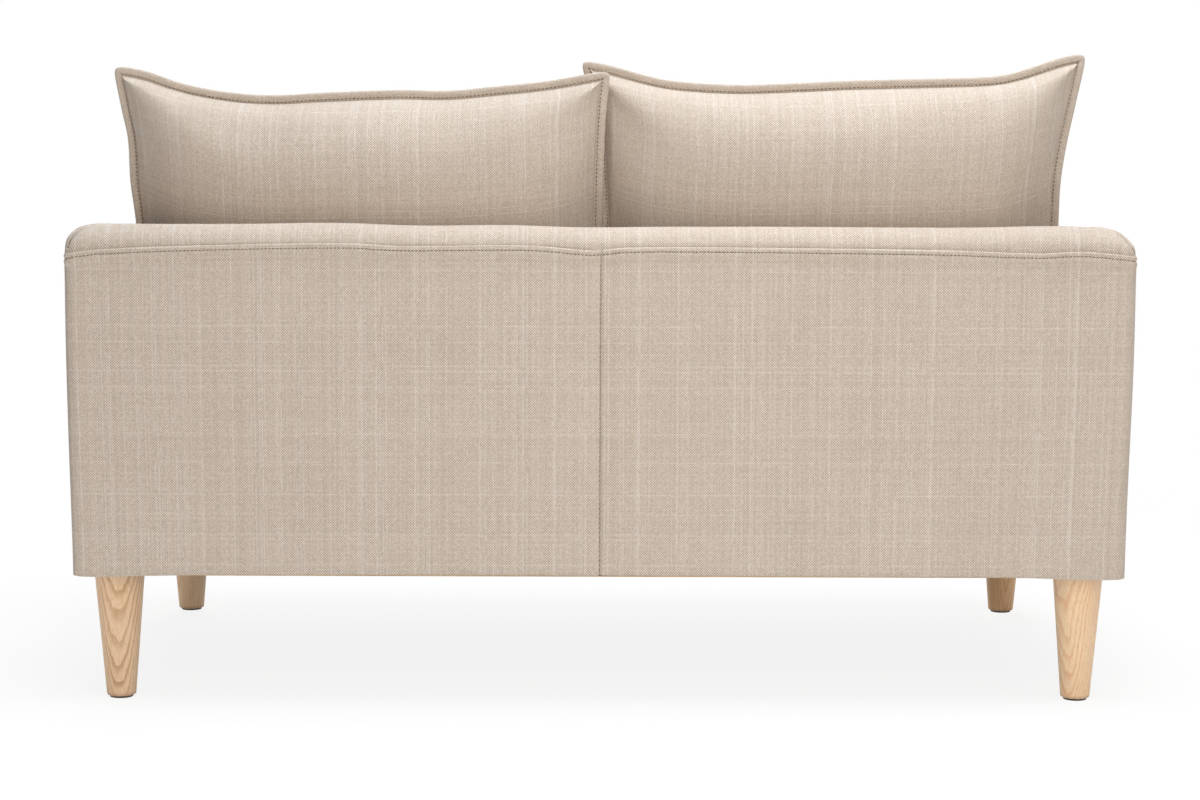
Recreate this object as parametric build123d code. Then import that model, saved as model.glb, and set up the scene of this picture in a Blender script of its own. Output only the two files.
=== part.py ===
from build123d import *
import os
from math import asin, atan2, cos, hypot, radians, sin, sqrt, tan

# Overall sizes in millimetres; X runs along the sofa, its front faces -Y and the floor is Z = 0
overall_width = 1450.0
overall_depth = 780.0
back_height = 657.0
arm_front_height = 590.0
underside_height = 178.0
shell_thickness = 70.0
clearance = 0.3

# Covers and the padded roll along the top of the arms and the back
cover_thickness = 4.0
outer_roll_radius = 32.0
inner_roll_radius = 26.0
arm_level_run = 2.0
arm_bend_radius = 400.0
arm_nose_radius = 60.0
back_corner_radius = 3.0
border_setback = 2.0
border_edge_radius = 12.0
border_lip = 48.0
dust_cover_thickness = 1.5
deck_cover_thickness = 2.0
deck_pad_thickness = 16.0
foam_overlap = 2.0
foam_ease = 0.5

# Timber frame
timber_thickness = 25.0
board_thickness = 3.0
seat_rail_height = 95.0
centre_rail_height = 65.0
post_depth = 50.0
arm_rail_depth = 45.0
back_rail_depth = 50.0
centre_post_width = 50.0
corner_block_size = 85.0
corner_block_height = 30.0
dowel_diameter = 10.0
dowel_fit = 0.05
dowel_in_rail = 34.0
dowel_in_post = 18.0
dowel_spread = 44.0
dowel_spread_across = 18.0

# Sprung seat and webbed back
spring_count = 8
spring_wire = 3.8
spring_width = 50.0
spring_runs = 30
spring_field = 1280.0
clip_width = 18.0
clip_length = 16.0
clip_sheet = 1.2
wire_fit = 0.1
strap_width = 50.0
strap_thickness = 2.0
strap_tail = 40.0

# Legs and their fixings
leg_top_diameter = 69.0
leg_foot_diameter = 40.0
leg_edge_radius = 2.0
leg_side_inset = 60.0
leg_rear_inset = 60.0
leg_front_inset = 75.0
glide_diameter = 32.0
glide_thickness = 3.0
glide_stem_diameter = 5.0
glide_stem_length = 10.0
bolt_diameter = 8.0
bolt_in_leg = 42.0
bolt_stand_out = 3.0
fixing_fit = 0.05
tee_nut_barrel = 10.5
tee_nut_length = 12.0
tee_nut_flange = 20.0
tee_nut_sheet = 1.5

# Seat cushions
seat_boxing_height = 112.0
seat_crown = 30.0
seat_edge_radius = 8.0
seat_corner_radius = 34.0
seat_draw_in = 4.0
seat_cover_thickness = 8.0
seat_middle_gap = 2.0
seat_side_gap = 2.0
seat_rear_gap = 1.0
seat_front_setback = 2.0
crown_steps = ((0.45, 30.0), (0.8, 62.0), (1.0, 100.0))

# Zip at the back of each seat cushion
zip_length = 520.0
zip_groove_height = 28.0
zip_groove_depth = 6.4
zip_tape_thickness = 1.2
zip_teeth_width = 5.0
zip_teeth_height = 1.2
zip_fit = 0.2
zip_slider_length = 13.0
zip_slider_width = 11.0
zip_slider_wall = 1.4
zip_pull_length = 7.0
zip_pull_width = 5.0
zip_end_margin = 6.0

# Back cushions: pulled-out corners, drawn-in sides and a stitched flange
cushion_lean = 10.0
cushion_yaw = 2.0
cushion_height = 436.0
cushion_half_depth = 78.0
cushion_top_draw_in = 36.0
cushion_side_draw_in = 8.0
cushion_side_gap = 5.0
cushion_middle_gap = 4.0
cushion_crown_bulge = 8.0
flange_width = 12.0
flange_thickness = 5.0
cushion_cover_thickness = 4.0
cushion_filling_ease = 3.0
# Height and reach of each ear: outer rise, outer reach, inner rise, inner reach
cushion_ears = {"right": (0.0, 24.0, -6.0, 13.0), "left": (20.0, 18.0, 6.0, 4.0)}
# Share of the half depth, then inset of the sides there as a share of the cushion's height,
# share of the draw-in left and corner radius as a share of the height
cushion_steps = (
    (0.0, 0.0, 1.0, 0.028),
    (0.36, 0.021, 0.75, 0.096),
    (0.64, 0.064, 0.45, 0.146),
    (0.85, 0.138, 0.2, 0.178),
    (1.0, 0.229, 0.0, 0.192),
)

# Planes worked out from the sizes above
half_width = overall_width / 2
rear_face = overall_depth / 2
front_face = -rear_face
inside_arm = half_width - shell_thickness
inside_back = rear_face - shell_thickness
# The arm's level top runs to bend_start; its slope is tangent to the bend and ends at the front height
bend_start = inside_back - arm_level_run
bend_run = bend_start - front_face
bend_drop = back_height - arm_bend_radius - arm_front_height
arm_slope = atan2(bend_drop, bend_run) + asin(arm_bend_radius / hypot(bend_run, bend_drop))
level_end = bend_start - arm_bend_radius * tan(arm_slope / 2)
board_outer = cover_thickness
timber_outer = board_outer + board_thickness
timber_inner = timber_outer + timber_thickness
foam_outer = timber_inner + board_thickness + clearance
foam_inner = shell_thickness - cover_thickness - clearance
timber_side = half_width - timber_outer
timber_side_inner = half_width - timber_inner
timber_rear = rear_face - timber_outer
timber_rear_inner = rear_face - timber_inner
roll_floor = inner_roll_radius + clearance
post_front = front_face + roll_floor
frame_top = back_height - roll_floor
seam_inset = outer_roll_radius + clearance
frame_front = front_face + seam_inset
rail_bottom = underside_height + dust_cover_thickness
rail_top = rail_bottom + seat_rail_height
front_rail_rear = frame_front + timber_thickness
front_post_rear = post_front + post_depth
rear_post_front = timber_rear - post_depth
clip_gap = spring_wire + 2 * wire_fit
clip_top = rail_top + 2 * clip_sheet + clip_gap
wire_height = rail_top + clip_sheet + clip_gap / 2
deck_pad_bottom = clip_top + clearance
deck_pad_top = deck_pad_bottom + deck_pad_thickness
deck_top = deck_pad_top + deck_cover_thickness
border_face = front_face + border_setback
border_back = border_face + border_lip
between_arms = inside_arm - clearance
leg_spots = {
    "rear_left": (leg_side_inset - half_width, rear_face - leg_rear_inset),
    "rear_right": (half_width - leg_side_inset, rear_face - leg_rear_inset),
    "front_left": (leg_side_inset - half_width, front_face + leg_front_inset),
    "front_right": (half_width - leg_side_inset, front_face + leg_front_inset),
}
block_top = rail_bottom + corner_block_height
seat_bottom = deck_top + clearance
seat_top = seat_bottom + seat_boxing_height + seat_crown
sides = {"left": -1, "right": 1}


def bar(x_ends, y_ends, z_ends):
    """A rectangular block between two values on each axis."""
    sizes = [abs(ends[1] - ends[0]) for ends in (x_ends, y_ends, z_ends)]
    centre = [(ends[0] + ends[1]) / 2 for ends in (x_ends, y_ends, z_ends)]
    return Pos(*centre) * Box(*sizes)


def rod(start, direction, length, diameter):
    """A round rod from a point along a direction."""
    return extrude(Plane(origin=start, z_dir=direction) * Circle(diameter / 2), length)


def to_side(shape, side):
    """The piece as modelled at +X, or its mirror image at -X."""
    if sides[side] > 0:
        return shape
    return mirror(shape, about=Plane.YZ)


def write(name, *shapes):
    """Write one node as a STEP file of its solids."""
    solids = [solid for shape in shapes for solid in shape.solids()]
    export_step(Compound(children=solids), os.path.join("parts", name + ".step"))


# Side view of an arm


def slope_height(y, inset):
    """Height of the arm's sloping top edge at y, moved in by inset."""
    return back_height - (level_end - y) * tan(arm_slope) - inset / cos(arm_slope)


def bend_point(inset):
    """Where the level and the sloping top edges of an arm meet."""
    return (level_end + inset * tan(arm_slope / 2), back_height - inset)


def arm_edge(inset, rear, bottom):
    """Top and front edge of an arm in side view, moved in by inset."""
    nose = (front_face + inset, slope_height(front_face + inset, inset))
    corners = [(rear, back_height - inset), bend_point(inset), nose, (front_face + inset, bottom)]
    return FilletPolyline(*corners, radius=[arm_bend_radius - inset, arm_nose_radius - inset])


def arm_slab(inset, rear, bottom, depths):
    """A flat slab of the arm's side view, between two depths from its outer face at +X."""
    edge = arm_edge(inset, rear, bottom)
    foot = (front_face + inset, bottom)
    base = Polyline(foot, (rear, bottom), (rear, back_height - inset))
    face = make_face(edge.edges() + base.edges())
    return extrude(Plane.YZ.offset(half_width - depths[1]) * face, depths[1] - depths[0])


def mitre(side):
    """Upright plane of the mitred corner between the back and an arm, facing the arm."""
    corner = (sides[side] * half_width, rear_face, 0)
    return Plane(origin=corner, z_dir=(sides[side], -1, 0))


# Padded roll along the top of the back and the arms


def roll_section(inset, floor):
    """Section of the roll from its outer face inwards: a cap with two rounded edges."""
    outer = outer_roll_radius - inset
    inner = inner_roll_radius - inset
    outer_start = outer_roll_radius - sqrt(outer**2 - (outer_roll_radius - floor) ** 2)
    diagonal = sin(radians(45))
    outer_mid = (outer_roll_radius - outer * diagonal, -outer_roll_radius + outer * diagonal)
    inner_centre = shell_thickness - inner_roll_radius
    inner_mid = (inner_centre + inner * diagonal, -inner_roll_radius + inner * diagonal)
    inner_side = (shell_thickness - inset, -inner_roll_radius)
    edges = [
        ThreePointArc((outer_start, -floor), outer_mid, (outer_roll_radius, -inset)),
        Line((outer_roll_radius, -inset), (inner_centre, -inset)),
        ThreePointArc((inner_centre, -inset), inner_mid, inner_side),
    ]
    if floor > inner_roll_radius:
        edges.append(Line(inner_side, (shell_thickness - inset, -floor)))
    edges.append(Line((shell_thickness - inset, -floor), (outer_start, -floor)))
    return make_face([edge.edge() for edge in edges])


def cap_section():
    """Section of the boxing cover over the roll."""
    return roll_section(0, outer_roll_radius) - roll_section(cover_thickness, outer_roll_radius)


def along_back(section):
    """The section run along the back and mitred at both ends."""
    start = Plane(origin=(-half_width, rear_face, back_height), x_dir=(0, -1, 0), z_dir=(-1, 0, 0))
    solid = extrude(start * section, -overall_width)
    for side in sides:
        solid = split(solid, bisect_by=mitre(side), keep=Keep.BOTTOM)
    return solid


def along_arm(section):
    """The section run along the top of the arm at +X, over its nose and down its front."""
    start = Plane(origin=(half_width, rear_face, back_height), x_dir=(-1, 0, 0), z_dir=(0, 1, 0))
    path = Plane.YZ.offset(half_width) * arm_edge(0, rear_face, underside_height)
    solid = sweep(start * section, path=path)
    return split(solid, bisect_by=mitre("right"), keep=Keep.TOP)


# Timber frame


def dowel_pair(centre, direction, spread):
    """Two dowels through a joint: centre, direction into the post, and offset between them."""
    rods = []
    for sign in (-0.5, 0.5):
        spot = Vector(centre) + Vector(spread) * sign
        rods.append((spot - Vector(direction) * dowel_in_rail, direction))
    return rods


def frame_joints():
    """Dowel axes of every joint in the timber frame, as start and direction."""
    rail_middle = rail_bottom + seat_rail_height / 2
    front_middle = frame_front + timber_thickness / 2
    rear_middle = (timber_rear + timber_rear_inner) / 2
    side_middle = (timber_side + timber_side_inner) / 2
    centre_middle = rail_bottom + centre_rail_height / 2
    upright = (0, 0, dowel_spread)
    close = (0, 0, dowel_spread_across)
    arm_rear_height = frame_top - arm_rail_depth / 2
    arm_front_joint = slope_height(front_post_rear, roll_floor + arm_rail_depth / 2)
    back_rail_middle = frame_top - back_rail_depth / 2
    joints = []
    for sign in sides.values():
        inward = (sign, 0, 0)
        joints += dowel_pair((sign * timber_side_inner, front_middle, rail_middle), inward, upright)
        joints += dowel_pair((sign * timber_side_inner, rear_middle, rail_middle), inward, upright)
        joints += dowel_pair((sign * timber_side_inner, rear_middle, back_rail_middle), inward, close)
        joints += dowel_pair((sign * side_middle, front_post_rear, rail_middle), (0, -1, 0), close)
        joints += dowel_pair((sign * side_middle, rear_post_front, rail_middle), (0, 1, 0), close)
        joints += dowel_pair((sign * side_middle, front_post_rear, arm_front_joint), (0, -1, 0), close)
        joints += dowel_pair((sign * side_middle, rear_post_front, arm_rear_height), (0, 1, 0), close)
    joints += dowel_pair((0, front_rail_rear, centre_middle), (0, -1, 0), close)
    joints += dowel_pair((0, timber_rear_inner, centre_middle), (0, 1, 0), close)
    across = (dowel_spread_across, 0, 0)
    joints += dowel_pair((0, rear_middle, rail_top), (0, 0, -1), across)
    joints += dowel_pair((0, rear_middle, frame_top - back_rail_depth), (0, 0, 1), across)
    return joints


def dowels(extra=0.0):
    """The dowels, or with extra the holes they go in."""
    length = dowel_in_rail + dowel_in_post
    for start, direction in frame_joints():
        end = start - Vector(direction) * extra
        yield rod(end, direction, length + 2 * extra, dowel_diameter + 2 * extra)


def drilled(timber):
    """The timber with every dowel hole that reaches it."""
    box = timber.bounding_box()
    for hole in dowels(dowel_fit):
        if box.overlaps(hole.bounding_box()):
            timber = timber - hole
    return timber


def rails_and_posts():
    """Every timber of the frame by name."""
    rail_ends = (rail_bottom, rail_top)
    front_ends = (frame_front, front_rail_rear)
    rear_ends = (timber_rear_inner, timber_rear)
    across = (-timber_side_inner, timber_side_inner)
    half_timber = timber_thickness / 2
    half_post = centre_post_width / 2
    timbers = {
        "seat_front_rail": bar(across, front_ends, rail_ends),
        "seat_rear_rail": bar(across, rear_ends, rail_ends),
        "seat_centre_rail": bar(
            (-half_timber, half_timber),
            (front_rail_rear, timber_rear_inner),
            (rail_bottom, rail_bottom + centre_rail_height),
        ),
        "back_top_rail": bar(across, rear_ends, (frame_top - back_rail_depth, frame_top)),
        "back_post_centre": bar((-half_post, half_post), rear_ends, (rail_top, frame_top - back_rail_depth)),
    }
    thick = (timber_side_inner, timber_side)
    side_rail = bar(thick, (front_post_rear, rear_post_front), rail_ends)
    back_post = bar(thick, (rear_post_front, timber_rear), (rail_bottom, frame_top))
    slab = arm_slab(roll_floor, timber_rear, rail_bottom, (timber_outer, timber_inner))
    front_post = slab & bar(thick, (front_face, front_post_rear), (0, back_height))
    for side in sides:
        timbers["seat_side_rail_" + side] = to_side(side_rail, side)
        timbers["back_post_" + side] = to_side(back_post, side)
        timbers["arm_front_post_" + side] = to_side(front_post, side)
        timbers["arm_top_rail_" + side] = to_side(arm_rail(), side)
    return {name: drilled(timber) for name, timber in timbers.items()}


def arm_rail():
    """Top rail of the arm at +X, following its bend between the two posts."""
    upper = roll_floor
    lower = roll_floor + arm_rail_depth
    ends = [(rear_post_front, back_height - upper), (rear_post_front, back_height - lower)]
    tips = [(front_post_rear, slope_height(front_post_rear, inset)) for inset in (upper, lower)]
    top = FilletPolyline(ends[0], bend_point(upper), tips[0], radius=[arm_bend_radius - upper])
    bottom = FilletPolyline(ends[1], bend_point(lower), tips[1], radius=[arm_bend_radius - lower])
    closing = [Line(tips[0], tips[1]).edge(), Line(ends[1], ends[0]).edge()]
    face = make_face(top.edges() + bottom.edges() + closing)
    return extrude(Plane.YZ.offset(timber_side_inner) * face, timber_thickness)


def corner_blocks():
    """Blocks in the four corners of the seat frame, bored for the tee nuts."""
    x_ends = (timber_side_inner - corner_block_size, timber_side_inner)
    y_ends = {
        "rear": (timber_rear_inner - corner_block_size, timber_rear_inner),
        "front": (front_rail_rear, front_rail_rear + corner_block_size),
    }
    for spot, (x, y) in leg_spots.items():
        end, side = spot.split("_")
        block = to_side(bar(x_ends, y_ends[end], (rail_bottom, block_top)), side)
        bore = rod((x, y, rail_bottom), (0, 0, 1), corner_block_height, tee_nut_barrel + 2 * fixing_fit)
        yield block - bore


def arm_boards():
    """Outer and inner board of the arm at +X."""
    outer = arm_slab(seam_inset, timber_rear, rail_bottom, (board_outer, timber_outer))
    inner = arm_slab(roll_floor, timber_rear_inner, rail_top, (timber_inner, timber_inner + board_thickness))
    return outer, inner


# Springs and webbing


def spring_rows():
    """Positions of the springs along the seat."""
    pitch = spring_field / spring_count
    return [(row + 0.5) * pitch - spring_field / 2 for row in range(spring_count)]


def spring():
    """One zig-zag spring of round wire, from the rear rail to the front rail at x = 0."""
    rear = (timber_rear + timber_rear_inner) / 2
    front = (frame_front + front_rail_rear) / 2
    pitch = (rear - front) / spring_runs
    reach = (spring_width - pitch) / 2
    edges = []
    for run in range(spring_runs + 1):
        sign = 1 if run % 2 == 0 else -1
        y = rear - run * pitch
        edges.append(Line((-sign * reach, y), (sign * reach, y)).edge())
        if run < spring_runs:
            middle = (sign * (reach + pitch / 2), y - pitch / 2)
            edges.append(ThreePointArc((sign * reach, y), middle, (sign * reach, y - pitch)).edge())
    path = Plane.XY.offset(wire_height) * Wire(edges)
    start = Plane(origin=path @ 0, z_dir=path % 0)
    return sweep(start * Circle(spring_wire / 2), path=path)


def spring_clip(y, facing):
    """A folded clip that holds the end run of a spring, open towards the seat."""
    inner = clip_gap / 2
    outer = inner + clip_sheet
    shell = bar((0, clip_width), (-outer, clip_length - outer), (-outer, outer))
    slot = bar((0, clip_width), (-inner, clip_length), (-inner, inner))
    turn = 0 if facing > 0 else 180
    return Pos(0, y, wire_height) * Rot(0, 0, turn) * Pos(-clip_width / 2, 0, 0) * (shell - slot)


def spring_clips():
    """A clip on the front rail and one on the rear rail for every spring."""
    rear = (timber_rear + timber_rear_inner) / 2
    front = (frame_front + front_rail_rear) / 2
    for x in spring_rows():
        yield Pos(x, 0, 0) * spring_clip(rear, -1)
        yield Pos(x, 0, 0) * spring_clip(front, 1)


def webbing_straps():
    """Elastic straps up the inside of the back frame, between the springs and off the centre post."""
    rows = spring_rows()
    z_ends = (rail_top - strap_tail, frame_top - back_rail_depth + strap_tail)
    y_ends = (timber_rear_inner - strap_thickness, timber_rear_inner)
    for x in [(row + following) / 2 for row, following in zip(rows, rows[1:])]:
        if abs(x) > (centre_post_width + strap_width) / 2:
            yield bar((x - strap_width / 2, x + strap_width / 2), y_ends, z_ends)


# Padding


def back_foam():
    """Foam on the inside of the back and over its top."""
    front = rear_face - foam_inner + foam_ease
    back = timber_rear_inner - strap_thickness - clearance
    top = back_height - inner_roll_radius + foam_overlap
    slab = bar((-between_arms, between_arms), (front, back), (deck_pad_bottom, top))
    inset = cover_thickness + clearance
    return slab + along_back(roll_section(inset, inner_roll_radius))


def arm_foam():
    """Foam on the inside of the arm at +X, over its top and down its front."""
    depths = (foam_outer, foam_inner - foam_ease)
    inset = inner_roll_radius - foam_overlap
    slab = arm_slab(inset, inside_back, rail_top + clearance, depths)
    return slab + along_arm(roll_section(cover_thickness + clearance, inner_roll_radius))


def border_section(inset, bottom, ends):
    """Section of the front border: up its face, round its top edge and back to the deck."""
    radius = border_edge_radius - inset
    face = border_face + inset
    top = deck_top - inset
    diagonal = radius * (1 - sin(radians(45)))
    edges = [
        Line((ends, bottom), (face, bottom)),
        Line((face, bottom), (face, top - radius)),
        ThreePointArc((face, top - radius), (face + diagonal, top - diagonal), (face + radius, top)),
        Line((face + radius, top), (ends, top)),
        Line((ends, top), (ends, bottom)),
    ]
    return make_face([edge.edge() for edge in edges])


def along_front(section):
    """A section in the YZ plane run between the two arms."""
    return extrude(Plane.YZ.offset(-between_arms) * section, 2 * between_arms)


def front_border_cover():
    """Cover of the front border, folded back over its top edge."""
    outer = border_section(0, underside_height, border_back)
    inner = border_section(cover_thickness, underside_height, border_back)
    return along_front(outer - inner)


def front_border_pad():
    """Padding between the front border's cover and the front rail."""
    inset = cover_thickness + clearance
    pad = along_front(border_section(inset, rail_bottom, border_back))
    hollow = bar((-half_width, half_width), (frame_front, border_back), (0, deck_pad_bottom))
    return pad - hollow


# Fixed covers


def outside_back_cover():
    """The half of the outside back at +X, with its upright edge rounded."""
    z_ends = (underside_height, back_height - seam_inset)
    panel = bar((clearance / 2, half_width), (rear_face - cover_thickness, rear_face), z_ends)
    edge = panel.edges().filter_by(Axis.Z).sort_by(Axis.X)[-2:].sort_by(Axis.Y)[-1]
    return fillet(edge, back_corner_radius)


def dust_cover():
    """Cloth under the frame, with a hole for each leg's bolt."""
    cloth = bar((-timber_side, timber_side), (frame_front, timber_rear), (underside_height, rail_bottom))
    for x, y in leg_spots.values():
        cloth -= rod((x, y, underside_height), (0, 0, 1), dust_cover_thickness, tee_nut_barrel)
    return cloth


# Legs


def leg(x, y):
    """A turned, tapered leg with its bolt and glide bored in."""
    foot = leg_foot_diameter / 2
    head = leg_top_diameter / 2
    corners = [(foot, glide_thickness), (head, underside_height)]
    axis_ends = [(0, underside_height), (0, glide_thickness)]
    profile = Polyline(axis_ends[1], *corners, axis_ends[0])
    face = make_face(profile.edges() + Line(*axis_ends).edges())
    turned = revolve(Plane.XZ * face, Axis.Z)
    turned = fillet(turned.edges().filter_by(GeomType.CIRCLE).sort_by(Axis.Z)[0], leg_edge_radius)
    bolt_bore = bolt_diameter + 2 * fixing_fit
    stem_bore = glide_stem_diameter + 2 * fixing_fit
    bolt_hole = rod((0, 0, underside_height - bolt_in_leg), (0, 0, 1), bolt_in_leg, bolt_bore)
    stem_hole = rod((0, 0, glide_thickness), (0, 0, 1), glide_stem_length, stem_bore)
    return Pos(x, y, 0) * (turned - bolt_hole - stem_hole)


def hanger_bolt(x, y):
    """The bolt from a leg up into its tee nut."""
    length = bolt_in_leg + dust_cover_thickness + corner_block_height + bolt_stand_out
    return rod((x, y, underside_height - bolt_in_leg), (0, 0, 1), length, bolt_diameter)


def tee_nut(x, y):
    """The nut in a corner block, its flange on top."""
    barrel = rod((x, y, block_top - tee_nut_length), (0, 0, 1), tee_nut_length, tee_nut_barrel)
    flange = rod((x, y, block_top), (0, 0, 1), tee_nut_sheet, tee_nut_flange)
    bore = bolt_diameter + 2 * fixing_fit
    thread = rod((x, y, rail_bottom), (0, 0, 1), corner_block_height + tee_nut_sheet, bore)
    return barrel + flange - thread


def glide(x, y):
    """A foot glide with its stem in the leg."""
    pad = rod((x, y, 0), (0, 0, 1), glide_thickness, glide_diameter)
    return pad + rod((x, y, glide_thickness), (0, 0, 1), glide_stem_length, glide_stem_diameter)


# Soft outlines


def soft_outline(corners, draw_ins, trim):
    """A face with four corners, its sides drawn in by arcs and its corners rounded off."""
    round_off = 2 - sqrt(2)
    points = [Vector(*corner) for corner in corners]
    edges = []
    for index, start in enumerate(points):
        end = points[(index + 1) % 4]
        after = points[(index + 2) % 4]
        along = (end - start).normalized()
        first = start + along * trim
        last = end - along * trim
        middle = (first + last) * 0.5 + Vector(-along.Y, along.X) * draw_ins[index]
        turn = end + (after - end).normalized() * trim
        tip = end + ((last + turn) * 0.5 - end) * round_off
        if abs(draw_ins[index]) > clearance:
            edges.append(ThreePointArc(first, middle, last).edge())
        else:
            edges.append(Line(first, last).edge())
        edges.append(ThreePointArc(last, tip, turn).edge())
    return make_face(edges)


# Seat cushions


def seat_outline(inset):
    """Plan of the seat cushion at +X, its sides moved in by inset."""
    x_ends = (seat_middle_gap / 2 + inset, inside_arm - seat_side_gap - inset)
    y_ends = (front_face + seat_front_setback + inset, inside_back - seat_rear_gap - inset)
    front_corners = [(x, y_ends[0]) for x in x_ends]
    rear_corners = [(x, y_ends[1]) for x in reversed(x_ends)]
    corners = front_corners + rear_corners
    return soft_outline(corners, (seat_draw_in, seat_draw_in, 0, seat_draw_in), seat_corner_radius)


def seat_body(shrink):
    """The seat cushion's boxed sides and crown, shrunk by the given wall."""
    edge = seat_edge_radius
    box_levels = [
        (seat_bottom + shrink, edge),
        (seat_bottom + shrink + edge, 0),
        (seat_bottom + seat_boxing_height - edge, 0),
        (seat_bottom + seat_boxing_height, edge / 2),
    ]
    seam = box_levels[-1][0]
    rise = seat_crown - shrink
    crown_levels = [box_levels[-1]] + [(seam + share * rise, inset) for share, inset in crown_steps]
    boxing = loft([Pos(0, 0, z) * seat_outline(shrink + inset) for z, inset in box_levels], ruled=True)
    crown = loft([Pos(0, 0, z) * seat_outline(shrink + inset) for z, inset in crown_levels])
    return boxing + crown


def zip_place():
    """Middle of the zip on the rear of the seat cushion at +X, and the groove's floor."""
    x = (seat_middle_gap / 2 + inside_arm - seat_side_gap) / 2
    floor = inside_back - seat_rear_gap - zip_groove_depth
    return x, floor, seat_bottom + seat_boxing_height / 2


def seat_cover():
    """Cover of the seat cushion at +X with its fibre wrap, grooved for the zip."""
    x, floor, z = zip_place()
    groove = bar(
        (x - zip_length / 2, x + zip_length / 2),
        (floor, inside_back),
        (z - zip_groove_height / 2, z + zip_groove_height / 2),
    )
    return seat_body(0) - seat_body(seat_cover_thickness) - groove


def zip_tape():
    """Zip tape with its row of teeth, in the groove of the seat cushion at +X."""
    x, floor, z = zip_place()
    x_ends = (x - zip_length / 2, x + zip_length / 2)
    raised = floor + zip_tape_thickness
    tape = bar(x_ends, (floor, raised), (z - zip_groove_height / 2, z + zip_groove_height / 2))
    teeth_ends = (z - zip_teeth_width / 2, z + zip_teeth_width / 2)
    teeth = bar(x_ends, (raised, raised + zip_teeth_height), teeth_ends)
    return tape + teeth


def zip_slider():
    """Zip slider over the teeth at the outer end of the zip at +X, its pull hanging down."""
    x, floor, z = zip_place()
    outer_end = x + zip_length / 2 - zip_end_margin
    x_ends = (outer_end - zip_slider_length, outer_end)
    rear = floor + zip_tape_thickness + zip_fit
    roof = rear + zip_teeth_height
    body = bar(x_ends, (rear, roof + zip_slider_wall), (z - zip_slider_width / 2, z + zip_slider_width / 2))
    half_slot = zip_teeth_width / 2 + zip_fit
    slot = bar(x_ends, (rear, roof), (z - half_slot, z + half_slot))
    middle = outer_end - zip_slider_length / 2
    pull = bar(
        (middle - zip_pull_width / 2, middle + zip_pull_width / 2),
        (roof, roof + zip_slider_wall),
        (z - zip_slider_width / 2 - zip_pull_length, z),
    )
    return body - slot + pull


# Back cushions


def cushion_plane(side):
    """Middle plane of a back cushion: leaning back, turned a little, resting on seat and back."""
    lean = radians(cushion_lean)
    yaw = radians(cushion_yaw)
    z = seat_top + clearance + flange_thickness / 2 * sin(lean)
    roll_centre = (inside_back + inner_roll_radius, back_height - inner_roll_radius)
    ear_reach = max(cushion_ears[side][1], cushion_ears[side][3])
    cap_inset = flange_width + cushion_steps[-1][1] * cushion_height - cushion_crown_bulge
    cap_reach = (inside_arm / 2 + ear_reach - cap_inset) * sin(yaw)
    room = inner_roll_radius + clearance + cushion_half_depth + (roll_centre[1] - z) * sin(lean)
    y = roll_centre[0] - room / cos(lean) - cap_reach
    along = Vector(cos(yaw), -sin(yaw), 0)
    up = Vector(sin(yaw) * sin(lean), cos(yaw) * sin(lean), cos(lean))
    return Plane(origin=(sides[side] * inside_arm / 2, y, z), x_dir=along, z_dir=along.cross(up))


def cushion_outline(side, inset, draw_share, corner_share):
    """Outline of a back cushion, its sides moved in by inset and drawn in by a share."""
    outer_rise, outer_reach, inner_rise, inner_reach = cushion_ears[side]
    outer = inside_arm / 2 - cushion_side_gap - inset
    inner = cushion_middle_gap / 2 - inside_arm / 2 + inset
    corners = [
        (inner, inset),
        (outer, inset),
        (outer + outer_reach, cushion_height + outer_rise - inset),
        (inner - inner_reach, cushion_height + inner_rise - inset),
    ]
    if sides[side] < 0:
        corners = [(-x, y) for x, y in (corners[1], corners[0], corners[3], corners[2])]
    draw_ins = [0, cushion_side_draw_in, cushion_top_draw_in, cushion_side_draw_in]
    bulge = cushion_crown_bulge * (1 - draw_share)
    draws = [draw * draw_share - bulge for draw in draw_ins]
    return soft_outline(corners, draws, corner_share * cushion_height)


def cushion_half(side, direction, inset, depth):
    """One face of a back cushion, swelling from its stitched outline to a small flat crown."""
    plane = cushion_plane(side)
    sections = []
    for share, inset_share, draw_share, corner_share in cushion_steps:
        side_inset = flange_width + inset + inset_share * cushion_height
        face = cushion_outline(side, side_inset, draw_share, corner_share)
        sections.append(plane.offset(direction * share * depth) * face)
    return loft(sections)


def cushion_swell(side, inset, wall):
    """Both faces of a back cushion, its outline moved in by inset and its crowns by the wall."""
    depth = cushion_half_depth - wall
    return cushion_half(side, 1, inset, depth) + cushion_half(side, -1, inset, depth)


def back_cushion_cover(side):
    """Cover of a back cushion with its flange."""
    plane = cushion_plane(side).offset(-flange_thickness / 2)
    outline = cushion_outline(side, 0, *cushion_steps[0][2:])
    flange = extrude(plane * outline, flange_thickness)
    hollow = cushion_swell(side, cushion_cover_thickness, cushion_cover_thickness)
    return flange + cushion_swell(side, 0, 0) - hollow


def back_cushion_filling(side):
    """Fibre filling of a back cushion, up against the crowns of its cover."""
    inset = cushion_cover_thickness + cushion_filling_ease
    return cushion_swell(side, inset, cushion_cover_thickness + clearance)


def make_frame():
    """Write the timber frame, its boards, springs and webbing."""
    for name, timber in rails_and_posts().items():
        write(name, timber)
    write("leg_corner_blocks", *corner_blocks())
    write("frame_dowels", *dowels())
    write(
        "back_board",
        bar(
            (board_outer - half_width, half_width - board_outer),
            (timber_rear, timber_rear + board_thickness),
            (rail_bottom, back_height - seam_inset),
        ),
    )
    wire = spring()
    write("seat_springs", *[Pos(x, 0, 0) * wire for x in spring_rows()])
    write("spring_clips", *spring_clips())
    write("back_webbing", *webbing_straps())
    for side in sides:
        write("arm_boards_" + side, *[to_side(board, side) for board in arm_boards()])


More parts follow.
